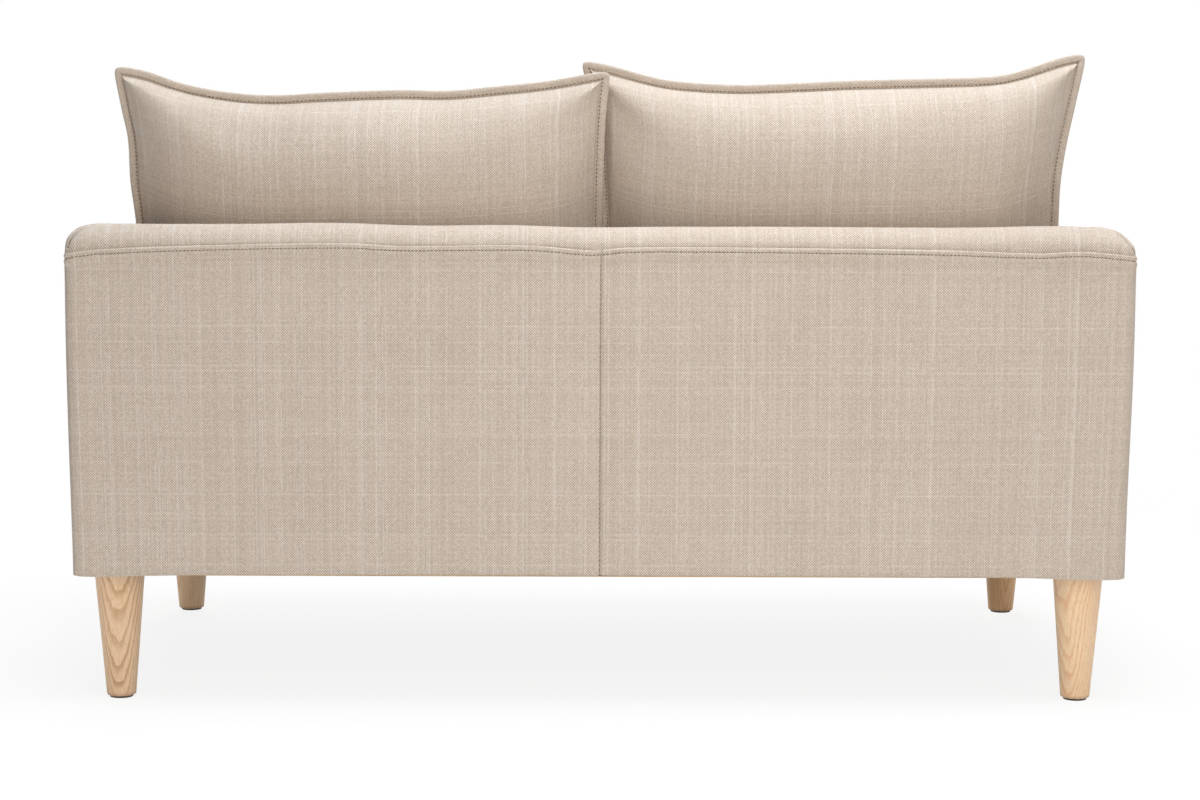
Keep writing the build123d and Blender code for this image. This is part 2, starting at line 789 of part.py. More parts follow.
def make_upholstery():
    """Write the padding and the fixed covers."""
    deck = (-between_arms, between_arms)
    pad_ends = (border_back + clearance, inside_back - clearance)
    write("deck_pad", bar(deck, pad_ends, (deck_pad_bottom, deck_pad_top)))
    write("deck_cover", bar(deck, pad_ends, (deck_pad_top, deck_top)))
    write("back_foam", back_foam())
    write("front_border_pad", front_border_pad())
    write("front_border_cover", front_border_cover())
    write("dust_cover", dust_cover())
    write("back_top_cover", along_back(cap_section()))
    inside_face = (inside_back, inside_back + cover_thickness)
    write("inside_back_cover", bar(deck, inside_face, (deck_pad_bottom, back_height - seam_inset)))
    pieces = {
        "arm_foam_": arm_foam(),
        "outside_back_cover_": outside_back_cover(),
        "outside_arm_cover_": arm_slab(
            seam_inset, rear_face - cover_thickness, underside_height, (0, cover_thickness)
        ),
        "inside_arm_cover_": arm_slab(
            seam_inset,
            inside_back + cover_thickness,
            rail_top + clearance,
            (shell_thickness - cover_thickness, shell_thickness),
        ),
        "arm_top_cover_": along_arm(cap_section()),
    }
    for side in sides:
        for name, piece in pieces.items():
            write(name + side, to_side(piece, side))


def make_legs():
    """Write the legs with their bolts, nuts and glides."""
    for spot, (x, y) in leg_spots.items():
        write("leg_" + spot, leg(x, y))
    spots = leg_spots.values()
    write("leg_hanger_bolts", *[hanger_bolt(x, y) for x, y in spots])
    write("leg_tee_nuts", *[tee_nut(x, y) for x, y in spots])
    write("leg_glides", *[glide(x, y) for x, y in spots])


def make_cushions():
    """Write the loose cushions, their fillings and their zips."""
    pieces = {
        "seat_cushion_{}_cover": seat_cover(),
        "seat_cushion_{}_core": seat_body(seat_cover_thickness + clearance),
        "seat_zip_{}": zip_tape(),
        "seat_zip_slider_{}": zip_slider(),
    }
    for side in sides:
        for name, piece in pieces.items():
            write(name.format(side), to_side(piece, side))
        write("back_cushion_{}_cover".format(side), back_cushion_cover(side))
        write("back_cushion_{}_filling".format(side), back_cushion_filling(side))


os.makedirs("parts", exist_ok=True)
make_frame()
make_upholstery()
make_legs()
make_cushions()
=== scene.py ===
import logging
from bisect import bisect_right
from dataclasses import dataclass, field
from enum import Enum
from math import asin, atan2, cos, exp, floor, hypot, pi, radians, sin, sqrt, tan
from typing import Callable, Sequence, Union

import bmesh
import bpy
from mathutils import Matrix, Vector, kdtree, noise


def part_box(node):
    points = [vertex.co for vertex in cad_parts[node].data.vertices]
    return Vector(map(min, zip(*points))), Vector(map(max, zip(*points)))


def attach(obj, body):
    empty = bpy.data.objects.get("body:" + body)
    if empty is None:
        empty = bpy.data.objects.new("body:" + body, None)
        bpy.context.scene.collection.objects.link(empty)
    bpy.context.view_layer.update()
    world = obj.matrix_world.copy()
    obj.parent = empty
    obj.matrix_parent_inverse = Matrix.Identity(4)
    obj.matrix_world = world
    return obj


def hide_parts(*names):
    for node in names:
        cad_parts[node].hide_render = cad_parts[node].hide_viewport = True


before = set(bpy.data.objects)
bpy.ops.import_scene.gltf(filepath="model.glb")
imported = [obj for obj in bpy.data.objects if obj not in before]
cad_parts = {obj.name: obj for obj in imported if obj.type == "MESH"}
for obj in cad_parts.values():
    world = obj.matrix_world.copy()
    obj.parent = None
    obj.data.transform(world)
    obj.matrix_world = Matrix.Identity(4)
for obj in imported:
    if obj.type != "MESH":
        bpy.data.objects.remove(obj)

log = logging.getLogger("sofa")
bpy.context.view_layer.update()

Point = tuple[float, float]
Triple = tuple[float, float, float]
Colour = Triple
Place = Callable[[float, float], Vector]
Lay = Callable[[float, float], Point]
BMesh = bmesh.types.BMesh
Material = bpy.types.Material
Piece = bpy.types.Object

UPWARD = Vector((0, 0, 1))
REARWARD = Vector((0, 1, 0))
SOFA_MIDDLE = Vector((0, 0, 0.4))


class Side(Enum):
    """The two ends of the sofa, as seen from its front."""

    LEFT = -1
    RIGHT = 1

    @property
    def word(self) -> str:
        """The side's name as the nodes use it."""
        return self.name.lower()


class Direction(Enum):
    """Which way a cushion face looks along its own middle plane's normal."""

    FRONT = 1
    REAR = -1


def smooth(low: float, high: float, value: float) -> float:
    """Soft step from 0 at low to 1 at high."""
    share = min(1.0, max(0.0, (value - low) / (high - low)))
    return share * share * (3 - 2 * share)


def bell(value: float, width: float) -> float:
    """A bell of height 1 at zero and the given half width."""
    return exp(-((value / width) ** 2))


def ripple(x: float, y: float, seed: float) -> float:
    """Gentle unevenness from about -1 to 1 over a plane."""
    return noise.noise(Vector((x, y, seed)))


def margin(u: float, v: float, steepness: float) -> float:
    """A share that is 0 on a panel's edges and 1 a little way inside them."""
    return min(1.0, steepness * min(u, 1 - u)) * min(1.0, steepness * min(v, 1 - v))


def find_run(run: float, lengths: Sequence[float]) -> tuple[int, float]:
    """Which stretch of a line a place falls in.

    Args:
        run: distance from the line's start.
        lengths: length of each stretch, in order.

    Returns:
        The stretch's number and the distance into it; the last one takes what is left.
    """
    for index, length in enumerate(lengths[:-1]):
        if run < length:
            return index, run
        run -= length
    return len(lengths) - 1, run


class Curve:
    """A smooth line through a few knots, given as value over place."""

    def __init__(self, knots: Sequence[Point]) -> None:
        """Keep the knots in order of place, with the line's slope at each.

        Args:
            knots: place and value of each.
        """
        self.knots = sorted(knots)
        self.places = [knot[0] for knot in self.knots]
        self.leans = [self._lean(index) for index in range(len(self.knots))]

    def __call__(self, place: float) -> float:
        """The line's value, level beyond the end knots.

        Args:
            place: where to look.

        Returns:
            The value there.
        """
        knots = self.knots
        if place <= knots[0][0]:
            return knots[0][1]
        if place >= knots[-1][0]:
            return knots[-1][1]
        index = bisect_right(self.places, place) - 1
        (x0, y0), (x1, y1) = knots[index], knots[index + 1]
        run = x1 - x0
        share = (place - x0) / run
        lean0, lean1 = self.leans[index], self.leans[index + 1]
        square, cube = share * share, share * share * share
        value = (2 * cube - 3 * square + 1) * y0 + (3 * square - 2 * cube) * y1
        return value + run * ((cube - 2 * square + share) * lean0 + (cube - square) * lean1)

    def _lean(self, index: int) -> float:
        """The line's slope at a knot.

        Args:
            index: the knot's number.

        Returns:
            The slope between its neighbours.
        """
        before, after = max(0, index - 1), min(len(self.knots) - 1, index + 1)
        (x0, y0), (x1, y1) = self.knots[before], self.knots[after]
        return (y1 - y0) / (x1 - x0)


def drawn(*knots: Point) -> Curve:
    """A dataclass field that holds the line through some knots."""
    return field(default_factory=lambda: Curve(knots))


# Shader graphs


def joining(operation: str, swapped: bool = False) -> Callable[["Wire", "Value"], "Wire"]:
    """An arithmetic method for wires.

    Args:
        operation: what its Math node does.
        swapped: whether the other value comes first.

    Returns:
        The method.
    """

    def method(wire: "Wire", other: "Value") -> "Wire":
        """The wire and another value, joined by one Math node."""
        first, second = (other, wire) if swapped else (wire, other)
        return wire.graph.math(operation, first, second)

    return method


class Wire:
    """A value in a shader graph; arithmetic on it adds Math nodes."""

    def __init__(self, graph: "Shader", socket: bpy.types.NodeSocket) -> None:
        """Wrap an output socket of the graph."""
        self.graph = graph
        self.socket = socket

    __add__ = joining("ADD")
    __radd__ = joining("ADD", swapped=True)
    __sub__ = joining("SUBTRACT")
    __rsub__ = joining("SUBTRACT", swapped=True)
    __mul__ = joining("MULTIPLY")
    __rmul__ = joining("MULTIPLY", swapped=True)
    __truediv__ = joining("DIVIDE")

    def floor(self) -> "Wire":
        """The whole number below."""
        return self.graph.math("FLOOR", self)

    def fract(self) -> "Wire":
        """What is left over the whole number."""
        return self.graph.math("FRACT", self)

    def step(self, low: float, high: float) -> "Wire":
        """Soft step from 0 at low to 1 at high.

        Args:
            low: where the step starts.
            high: where it ends.

        Returns:
            A share from 0 to 1.
        """
        sockets = {"Value": self, "From Min": low, "From Max": high}
        settings = {"interpolation_type": "SMOOTHSTEP"}
        return self.graph.wire("ShaderNodeMapRange", settings, sockets, "Result")


Value = Union[Wire, float]
Feed = Union[Wire, float, tuple]


def srgb(red: int, green: int, blue: int) -> Colour:
    """A colour as written in 8-bit values, made linear.

    Args:
        red: from 0 to 255.
        green: from 0 to 255.
        blue: from 0 to 255.

    Returns:
        The linear colour.
    """
    shares = [channel / 255 for channel in (red, green, blue)]
    linear = [s / 12.92 if s <= 0.04045 else ((s + 0.055) / 1.055) ** 2.4 for s in shares]
    return linear[0], linear[1], linear[2]


class Shader:
    """A material's node graph, built from expressions."""

    def __init__(self, name: str) -> None:
        """Start a material with its main shader.

        Args:
            name: the material's name.
        """
        self.material = bpy.data.materials.new(name)
        self.material.use_nodes = True
        self.tree = self.material.node_tree
        self.surface = self.tree.nodes["Principled BSDF"]

    def node(self, kind: str, settings: dict, sockets: dict) -> bpy.types.Node:
        """Add a node.

        Args:
            kind: its type.
            settings: its properties, set before its sockets.
            sockets: values or wires of its inputs, by name or number.

        Returns:
            The node.
        """
        made = self.tree.nodes.new(kind)
        for key, value in settings.items():
            setattr(made, key, value)
        for key, value in sockets.items():
            self.feed(made.inputs[key], value)
        return made

    def wire(self, kind: str, settings: dict, sockets: dict, output: Union[int, str] = 0) -> Wire:
        """Add a node and take one of its outputs."""
        return Wire(self, self.node(kind, settings, sockets).outputs[output])

    def feed(self, socket: bpy.types.NodeSocket, value: Feed) -> None:
        """Link or set one input.

        Args:
            socket: the input.
            value: a wire, a number or a colour.
        """
        if isinstance(value, Wire):
            self.tree.links.new(value.socket, socket)
        elif isinstance(value, tuple) and socket.type == "RGBA" and len(value) == 3:
            socket.default_value = (*value, 1)
        else:
            socket.default_value = value

    def give(self, values: dict[str, Feed]) -> None:
        """Feed inputs of the main shader by name."""
        for name, value in values.items():
            self.feed(self.surface.inputs[name], value)

    def math(self, operation: str, *values: Value) -> Wire:
        """One Math node on one to three values."""
        return self.wire("ShaderNodeMath", {"operation": operation}, dict(enumerate(values)))

    def mix(self, share: Value, first: Feed, second: Feed) -> Wire:
        """Mix two colours, the second by the given share."""
        sockets = {0: share, 6: first, 7: second}
        return self.wire("ShaderNodeMix", {"data_type": "RGBA"}, sockets, 2)

    def joined(self, x: Value, y: Value, z: Value = 0.0) -> Wire:
        """Three values as a vector."""
        return self.wire("ShaderNodeCombineXYZ", {}, {0: x, 1: y, 2: z})

    def parts(self, vector: Wire) -> tuple[Wire, Wire, Wire]:
        """A vector's three values."""
        x, y, z = self.node("ShaderNodeSeparateXYZ", {}, {0: vector}).outputs
        return Wire(self, x), Wire(self, y), Wire(self, z)

    def weave_map(self) -> tuple[Wire, Wire]:
        """The cloth's own map, across and along the warp, in metres."""
        across, along, _ = self.parts(self.wire("ShaderNodeUVMap", {"uv_map": "weave"}, {}))
        return across, along

    def place(self, centre: Triple = (0.0, 0.0, 0.0)) -> Wire:
        """Object coordinates about a centre."""
        spot = self.wire("ShaderNodeTexCoord", {}, {}, "Object")
        return self.wire("ShaderNodeVectorMath", {"operation": "SUBTRACT"}, {0: spot, 1: centre})

    def grain(self, spot: Wire, scale: float, detail: float = 2.0, rough: float = 0.5) -> Wire:
        """Soft noise from 0 to 1 over a place in space."""
        sockets = {"Vector": spot, "Scale": scale, "Detail": detail, "Roughness": rough}
        return self.wire("ShaderNodeTexNoise", {"noise_dimensions": "3D"}, sockets)

    def streaks(self, spot: Wire, scales: Triple, detail: float = 2.0, rough: float = 0.5) -> Wire:
        """Soft noise from 0 to 1 with a scale for each axis."""
        wide = self.wire("ShaderNodeVectorMath", {"operation": "MULTIPLY"}, {0: spot, 1: scales})
        return self.grain(wide, 1.0, detail, rough)

    def chance(self, first: Value, second: Value) -> Wire:
        """A fixed chance value from 0 to 1 for each pair of whole numbers."""
        sockets = {"Vector": self.joined(first, second)}
        return self.wire("ShaderNodeTexWhiteNoise", {"noise_dimensions": "2D"}, sockets, "Value")

    def dress(
        self, colour: Wire, rough: Value, height: Wire, depth: float, strength: float = 0.5
    ) -> None:
        """Feed the main shader.

        Args:
            colour: base colour.
            rough: roughness.
            height: relief from 0 to 1.
            depth: the relief's real depth in metres.
            strength: how much of it counts.
        """
        sockets = {"Strength": strength, "Distance": depth, "Height": height}
        bump = self.wire("ShaderNodeBump", {}, sockets)
        self.give({"Base Color": colour, "Roughness": rough, "Normal": bump})


# Finishes


@dataclass(frozen=True)
class LinenFinish:
    """Plain-woven linen-look cloth with slub yarns, on each piece's own weave map."""

    name: str = "linen"
    yarn: Colour = srgb(211, 195, 181)
    shade: Colour = srgb(167, 149, 130)
    pale: Colour = srgb(250, 246, 245)
    lightest: float = 0.9
    pitch: float = 0.0017
    drift: Point = (0.0007, 0.0009)
    roundness: float = 3.6
    slub_share: float = 0.22
    weft_share: float = 0.3
    weft_strength: float = 0.6
    slub_rate: float = 24.0
    slub_tone: float = 0.35
    crossing_tone: float = 0.36
    yarn_tones: Point = (0.08, 0.05)
    spot_tone: float = 0.17
    cloud_tone: float = 0.08
    fleck_tone: float = 0.14
    # Painted shade in the hollows between the yarns, as a share of the tone.
    painted_hollow_shade: float = 0.18
    rough: float = 0.86
    relief: float = 0.0005
    sheen: float = 0.12

    def make(self) -> Material:
        """The cloth's material.

        Returns:
            The material.
        """
        g = Shader(self.name)
        across, along = g.weave_map()
        drift = g.grain(g.joined(across, along, 0.37), 18.0) - 0.5
        warp = (across + drift * self.drift[0]) / self.pitch
        weft = (along + drift * self.drift[1]) / self.pitch
        warp_no, weft_no = warp.floor(), weft.floor()
        warp_round, weft_round = self._round(warp), self._round(weft)
        over = g.math("PINGPONG", warp_no + weft_no, 1.0)
        warp_top = warp_round * (0.55 + weft_round * 0.45)
        weft_top = weft_round * (0.55 + warp_round * 0.45)
        height = over * warp_top + (1 - over) * weft_top

        warp_slub = self._slub(warp_no, along, 11.0, self.slub_share)
        weft_slub = self._slub(weft_no, across, 53.0, self.slub_share * self.weft_share)
        weft_slub = weft_slub * self.weft_strength
        slub = g.math("MAXIMUM", warp_slub * (0.2 + over * 0.8), weft_slub * (0.9 - over * 0.6))
        spot = g.chance(warp_no, weft_no) - 0.5
        cloud = g.grain(g.joined(across, along, 4.1), 9.0, 3.0) - 0.5
        fleck = g.grain(g.joined(across, along * 0.45, 9.7), 420.0) - 0.5
        tone = 0.5 + (over - 0.5) * self.crossing_tone
        tone = tone + (g.chance(warp_no, 3.0) - 0.5) * self.yarn_tones[0]
        tone = tone + (g.chance(weft_no, 8.0) - 0.5) * self.yarn_tones[1]
        tone = tone + spot * self.spot_tone + cloud * self.cloud_tone + fleck * self.fleck_tone
        # Painted shade: the tone is darker in the hollows between the yarns, where shade falls.
        tone = tone - (1 - height) * self.painted_hollow_shade
        base = g.mix(tone.step(0.0, 1.0), self.shade, self._lift())
        colour = g.mix(slub * self.slub_tone, base, self.pale)
        full = height * 0.8 + slub * 0.5 + fleck * 0.3
        g.dress(colour, self.rough + spot * 0.08, full, self.relief, 0.55)
        g.give({"Sheen Weight": self.sheen, "Sheen Roughness": 0.55, "Specular IOR Level": 0.22})
        return g.material

    def _lift(self) -> Colour:
        """The yarn's light tone, as far above its middle tone as the shade is below.

        Returns:
            The colour.
        """
        red, green, blue = (
            min(self.lightest, 2 * y - s) for y, s in zip(self.yarn, self.shade)
        )
        return red, green, blue

    def _round(self, yarns: Wire) -> Wire:
        """How high a yarn stands across its own width."""
        inside = yarns.fract() - 0.5
        return 1 - inside * inside * self.roundness

    def _slub(self, yarn_no: Wire, run: Wire, seed: float, share: float) -> Wire:
        """Where a yarn is thick and pale.

        Args:
            yarn_no: the yarn's number.
            run: the place along it in metres.
            seed: tells warp from weft.
            share: how many yarns have slubs.

        Returns:
            A mask from 0 to 1.
        """
        g = yarn_no.graph
        picked = g.chance(yarn_no, seed).step(1 - share, 1 - share * 0.3)
        length = g.grain(g.joined(yarn_no * 3.17, run * self.slub_rate, seed), 1.0, 3.0, 0.65)
        return picked * length.step(0.41, 0.50)


@dataclass(frozen=True)
class ThreadFinish:
    """Twisted sewing thread."""

    name: str
    thread: Colour
    shade: Colour
    scale: float = 2200.0
    relief: float = 0.0002

    def make(self) -> Material:
        """The thread's material.

        Returns:
            The material.
        """
        g = Shader(self.name)
        twist = g.grain(g.place(), self.scale, 1.0)
        colour = g.mix(twist, self.shade, self.thread)
        g.dress(colour, 0.7 + twist * 0.1, twist, self.relief)
        return g.material


@dataclass(frozen=True)
class OakFinish:
    """Pale turned wood under a clear satin coat, its rings about a pith beside one leg."""

    name: str
    centre: Triple
    pith: Point
    pale: Colour
    brown: Colour
    pore: Colour = srgb(166, 118, 78)
    rim: Colour = srgb(128, 84, 50)
    rim_height: float = 0.006
    ring: float = 0.0031
    climb: float = 5.0
    bend: Point = (0.009, 0.008)
    relief: float = 0.00018

    @property
    def node(self) -> str:
        """The leg that takes the finish."""
        return self.name.replace("_wood", "")

    def make(self) -> Material:
        """The wood's material.

        Returns:
            The material.
        """
        g = Shader(self.name)
        spot = g.place(self.centre)
        bend = g.streaks(spot, (26.0, 26.0, 9.0), 3.0) - 0.5
        fray = g.streaks(spot, (260.0, 260.0, 40.0)) - 0.5
        x, y, z = g.parts(spot)
        off_x = x - self.pith[0] + bend * self.bend[0]
        off_y = y - self.pith[1] + bend * self.bend[1]
        distance = g.math("SQRT", off_x * off_x + off_y * off_y) + fray * 0.0007
        rings = distance / self.ring + z * self.climb
        ring = rings.fract()
        late = ring.step(0.35, 0.9) * (1 - ring.step(0.92, 1.0))
        streak = g.streaks(spot, (900.0, 900.0, 26.0))
        pores = g.streaks(spot, (1700.0, 1700.0, 110.0), 1.0).step(0.6, 0.72)
        blotch = g.streaks(spot, (30.0, 30.0, 14.0)) - 0.5
        late_tone = late * (0.16 + g.chance(rings.floor(), 5.0) * 0.44)
        dark = late_tone + (streak - 0.5) * 0.75 + blotch * 0.45 + 0.26
        colour = g.mix(dark.step(0.0, 1.0), self.pale, self.brown)
        colour = g.mix(pores * 0.42, colour, self.pore)
        # Darker band over the lowest few millimetres of the leg, at its foot.
        colour = g.mix((1 - z.step(0.0, self.rim_height)) * 0.4, colour, self.rim)
        height = 1 - pores * 0.7 - late * 0.15
        g.dress(colour, 0.46 + streak * 0.14 + pores * 0.12, height, self.relief)
        g.give({"Coat Weight": 0.12, "Coat Roughness": 0.35})
        return g.material


@dataclass(frozen=True)
class TimberFinish:
    """Sawn timber, its grain stretched along one axis."""

    name: str
    pale: Colour
    brown: Colour
    scales: Triple = (12.0, 240.0, 240.0)
    relief: float = 0.0004

    def make(self) -> Material:
        """The timber's material.

        Returns:
            The material.
        """
        g = Shader(self.name)
        spot = g.place()
        grain = g.streaks(spot, self.scales, 4.0, 0.6)
        fuzz = g.grain(spot, 900.0)
        tone = grain * 0.8 + fuzz * 0.25
        colour = g.mix(tone.step(0.25, 0.8), self.pale, self.brown)
        g.dress(colour, 0.7 + fuzz * 0.15, tone, self.relief)
        return g.material


@dataclass(frozen=True)
class SteelFinish:
    """Plated or drawn steel with fine scratches."""

    name: str
    bright: Colour
    dull: Colour
    rough: float
    relief: float = 0.00008

    def make(self) -> Material:
        """The steel's material.

        Returns:
            The material.
        """
        g = Shader(self.name)
        spot = g.place()
        colour = g.mix(g.grain(spot, 60.0, 3.0), self.bright, self.dull)
        scratch = g.streaks(spot, (2600.0, 300.0, 2600.0))
        g.dress(colour, self.rough + scratch * 0.18, scratch, self.relief, 0.4)
        g.give({"Metallic": 1.0})
        return g.material


@dataclass(frozen=True)
class MatFinish:
    """Felted, pressed or moulded stuff with a fine even texture."""

    name: str
    light: Colour
    dark: Colour
    scale: float
    rough: float
    relief: float

    def make(self) -> Material:
        """The stuff's material.

        Returns:
            The material.
        """
        g = Shader(self.name)
        spot = g.place()
        speck = g.grain(spot, self.scale, 3.0, 0.65)
        tone = speck + (g.grain(spot, 14.0) - 0.5) * 0.3
        colour = g.mix(tone.step(0.2, 0.8), self.dark, self.light)
        g.dress(colour, self.rough + speck * 0.1, speck, self.relief)
        return g.material


@dataclass(frozen=True)
class TapeFinish:
    """Flat woven tape or plain cloth with a fine even weave, on Object coordinates."""

    name: str
    light: Colour
    dark: Colour
    pitch: float
    relief: float = 0.0004

    def make(self) -> Material:
        """The tape's material.

        Returns:
            The material.
        """
        g = Shader(self.name)
        x, y, z = g.parts(g.place())
        warp, weft = x / self.pitch, (y + z) / self.pitch
        first, second = warp.fract() - 0.5, weft.fract() - 0.5
        height = 1 - (first * first + second * second) * 1.9
        speck = g.chance(warp.floor(), weft.floor())
        colour = g.mix(height * 0.6 + speck * 0.4, self.dark, self.light)
        g.dress(colour, 0.8 + speck * 0.1, height, self.relief)
        return g.material


# Mesh helpers


def finish_mesh(bm: BMesh, name: str, material: Material) -> Piece:
    """Turn a bmesh into an object at the origin.

    Args:
        bm: the mesh, freed here.
        name: the piece's name.
        material: its finish.

    Returns:
        The object, smooth shaded.
    """
    mesh = bpy.data.meshes.new(name)
    for face in bm.faces:
        face.smooth = True
    bm.to_mesh(mesh)
    bm.free()
    mesh.materials.append(material)
    made = bpy.data.objects.new(name, mesh)
    bpy.context.scene.collection.objects.link(made)
    return made


def cloth_grid(columns: int, rows: int, place: Place, lay: Lay) -> BMesh:
    """A grid of cloth put in place point by point, with its weave map.

    Args:
        columns: cells across.
        rows: cells along.
        place: where the shares across and along go.
        lay: the weave map's values there, in metres.

    Returns:
        The mesh, its boundary open.
    """
    bm = bmesh.new()
    bmesh.ops.create_grid(bm, x_segments=columns, y_segments=rows, size=0.5)
    layer = bm.loops.layers.uv.new("weave")
    spans = [(min(v.co[i] for v in bm.verts), max(v.co[i] for v in bm.verts)) for i in (0, 1)]
    bm.verts.index_update()
    laid = []
    for vert in bm.verts:
        u, v = ((vert.co[i] - spans[i][0]) / (spans[i][1] - spans[i][0]) for i in (0, 1))
        laid.append(lay(u, v))
        vert.co = place(u, v)
    for face in bm.faces:
        for loop in face.loops:
            loop[layer].uv = laid[loop.vert.index]
    return bm


def face_out(bm: BMesh, inner: Vector) -> None:
    """Turn an open sheet's faces away from a point behind it.

    Args:
        bm: the sheet.
        inner: the point.
    """
    bm.normal_update()
    total = sum(f.normal.dot(f.calc_center_median() - inner) * f.calc_area() for f in bm.faces)
    if total < 0:
        bmesh.ops.reverse_faces(bm, faces=bm.faces[:])


def thicken(piece: Piece, thickness: float) -> None:
    """Give a sheet its thickness, inwards from its face.

    Args:
        piece: the sheet.
        thickness: in metres.
    """
    wall = piece.modifiers.new("thickness", "SOLIDIFY")
    wall.thickness = thickness
    wall.offset = -1.0
    wall.use_even_offset = False


def refine(piece: Piece) -> None:
    """Divide a cushion's faces once more, smoothly."""
    finer = piece.modifiers.new("finer", "SUBSURF")
    finer.levels = finer.render_levels = 1


def dense_ends(share: float, total: float, fine: float, fine_share: float) -> float:
    """A run from 0 to total whose last stretch takes many rows.

    Args:
        share: the row's share from 0 to 1.
        total: the whole run.
        fine: length of the finely divided end.
        fine_share: share of the rows that it takes.

    Returns:
        The place along the run.
    """
    if share < 1 - fine_share:
        return share / (1 - fine_share) * (total - fine)
    return total - fine + (share - 1 + fine_share) / fine_share * fine


def close_ends(share: float, closeness: float = 0.72) -> float:
    """A share moved so that steps are closer near 0 and 1."""
    return share - closeness * sin(2 * pi * share) / (2 * pi)


def add_mesh(bm: BMesh, part: BMesh) -> None:
    """Move a part's faces into another mesh.

    Args:
        bm: the mesh that takes them.
        part: the part, freed here.
    """
    spare = bpy.data.meshes.new("spare")
    part.to_mesh(spare)
    part.free()
    bm.from_mesh(spare)
    bpy.data.meshes.remove(spare)


def bead_row(places: Sequence[Matrix], around: int, along: int) -> BMesh:
    """One small bead repeated.

    Args:
        places: where each goes and its shape.
        around: its faces round its axis.
        along: its faces from pole to pole.

    Returns:
        The mesh of them all.
    """
    bead = bmesh.new()
    bmesh.ops.create_uvsphere(bead, u_segments=around, v_segments=along, radius=1.0)
    single = bpy.data.meshes.new("bead")
    bead.to_mesh(single)
    bead.free()
    bm = bmesh.new()
    for place in places:
        copy = single.copy()
        copy.transform(place)
        bm.from_mesh(copy)
        bpy.data.meshes.remove(copy)
    bpy.data.meshes.remove(single)
    return bm


@dataclass(frozen=True)
class Stitch:
    """One kind of stitch, sewn in rows."""

    pitch: float
    length: float
    gauge: float
    thread: Material

    def row(self, name: str, body: str, spots: Sequence[Vector], outs: Sequence[Vector]) -> Piece:
        """A row of single stitches lying along a line.

        Args:
            name: the piece's name.
            body: the body that carries it.
            spots: middle of each stitch, in order.
            outs: the cloth's outward direction at each.

        Returns:
            The row as one piece.
        """
        shape = Matrix.Diagonal((self.length / 2, self.gauge / 2, self.gauge / 2, 1))
        places = []
        for index, spot in enumerate(spots):
            before, after = spots[max(0, index - 1)], spots[min(len(spots) - 1, index + 1)]
            along = (after - before).normalized()
            out = (outs[index] - along * outs[index].dot(along)).normalized()
            turn = Matrix((along, out.cross(along), out)).transposed().to_4x4()
            places.append(Matrix.Translation(spot) @ turn @ shape)
        row = finish_mesh(bead_row(places, 6, 4), name, self.thread)
        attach(row, body)
        return row

    def walk(self, points: Sequence[Vector]) -> list[tuple[int, float]]:
        """Even steps of the stitch's pitch along a line.

        Args:
            points: the line's points.

        Returns:
            For each step, the point before it and the share to the next.
        """
        steps, carried = [], self.pitch / 2
        for index in range(len(points) - 1):
            run = (points[index + 1] - points[index]).length
            while carried < run:
                steps.append((index, carried / run))
                carried += self.pitch
            carried -= run
        return steps


# Fixed shell


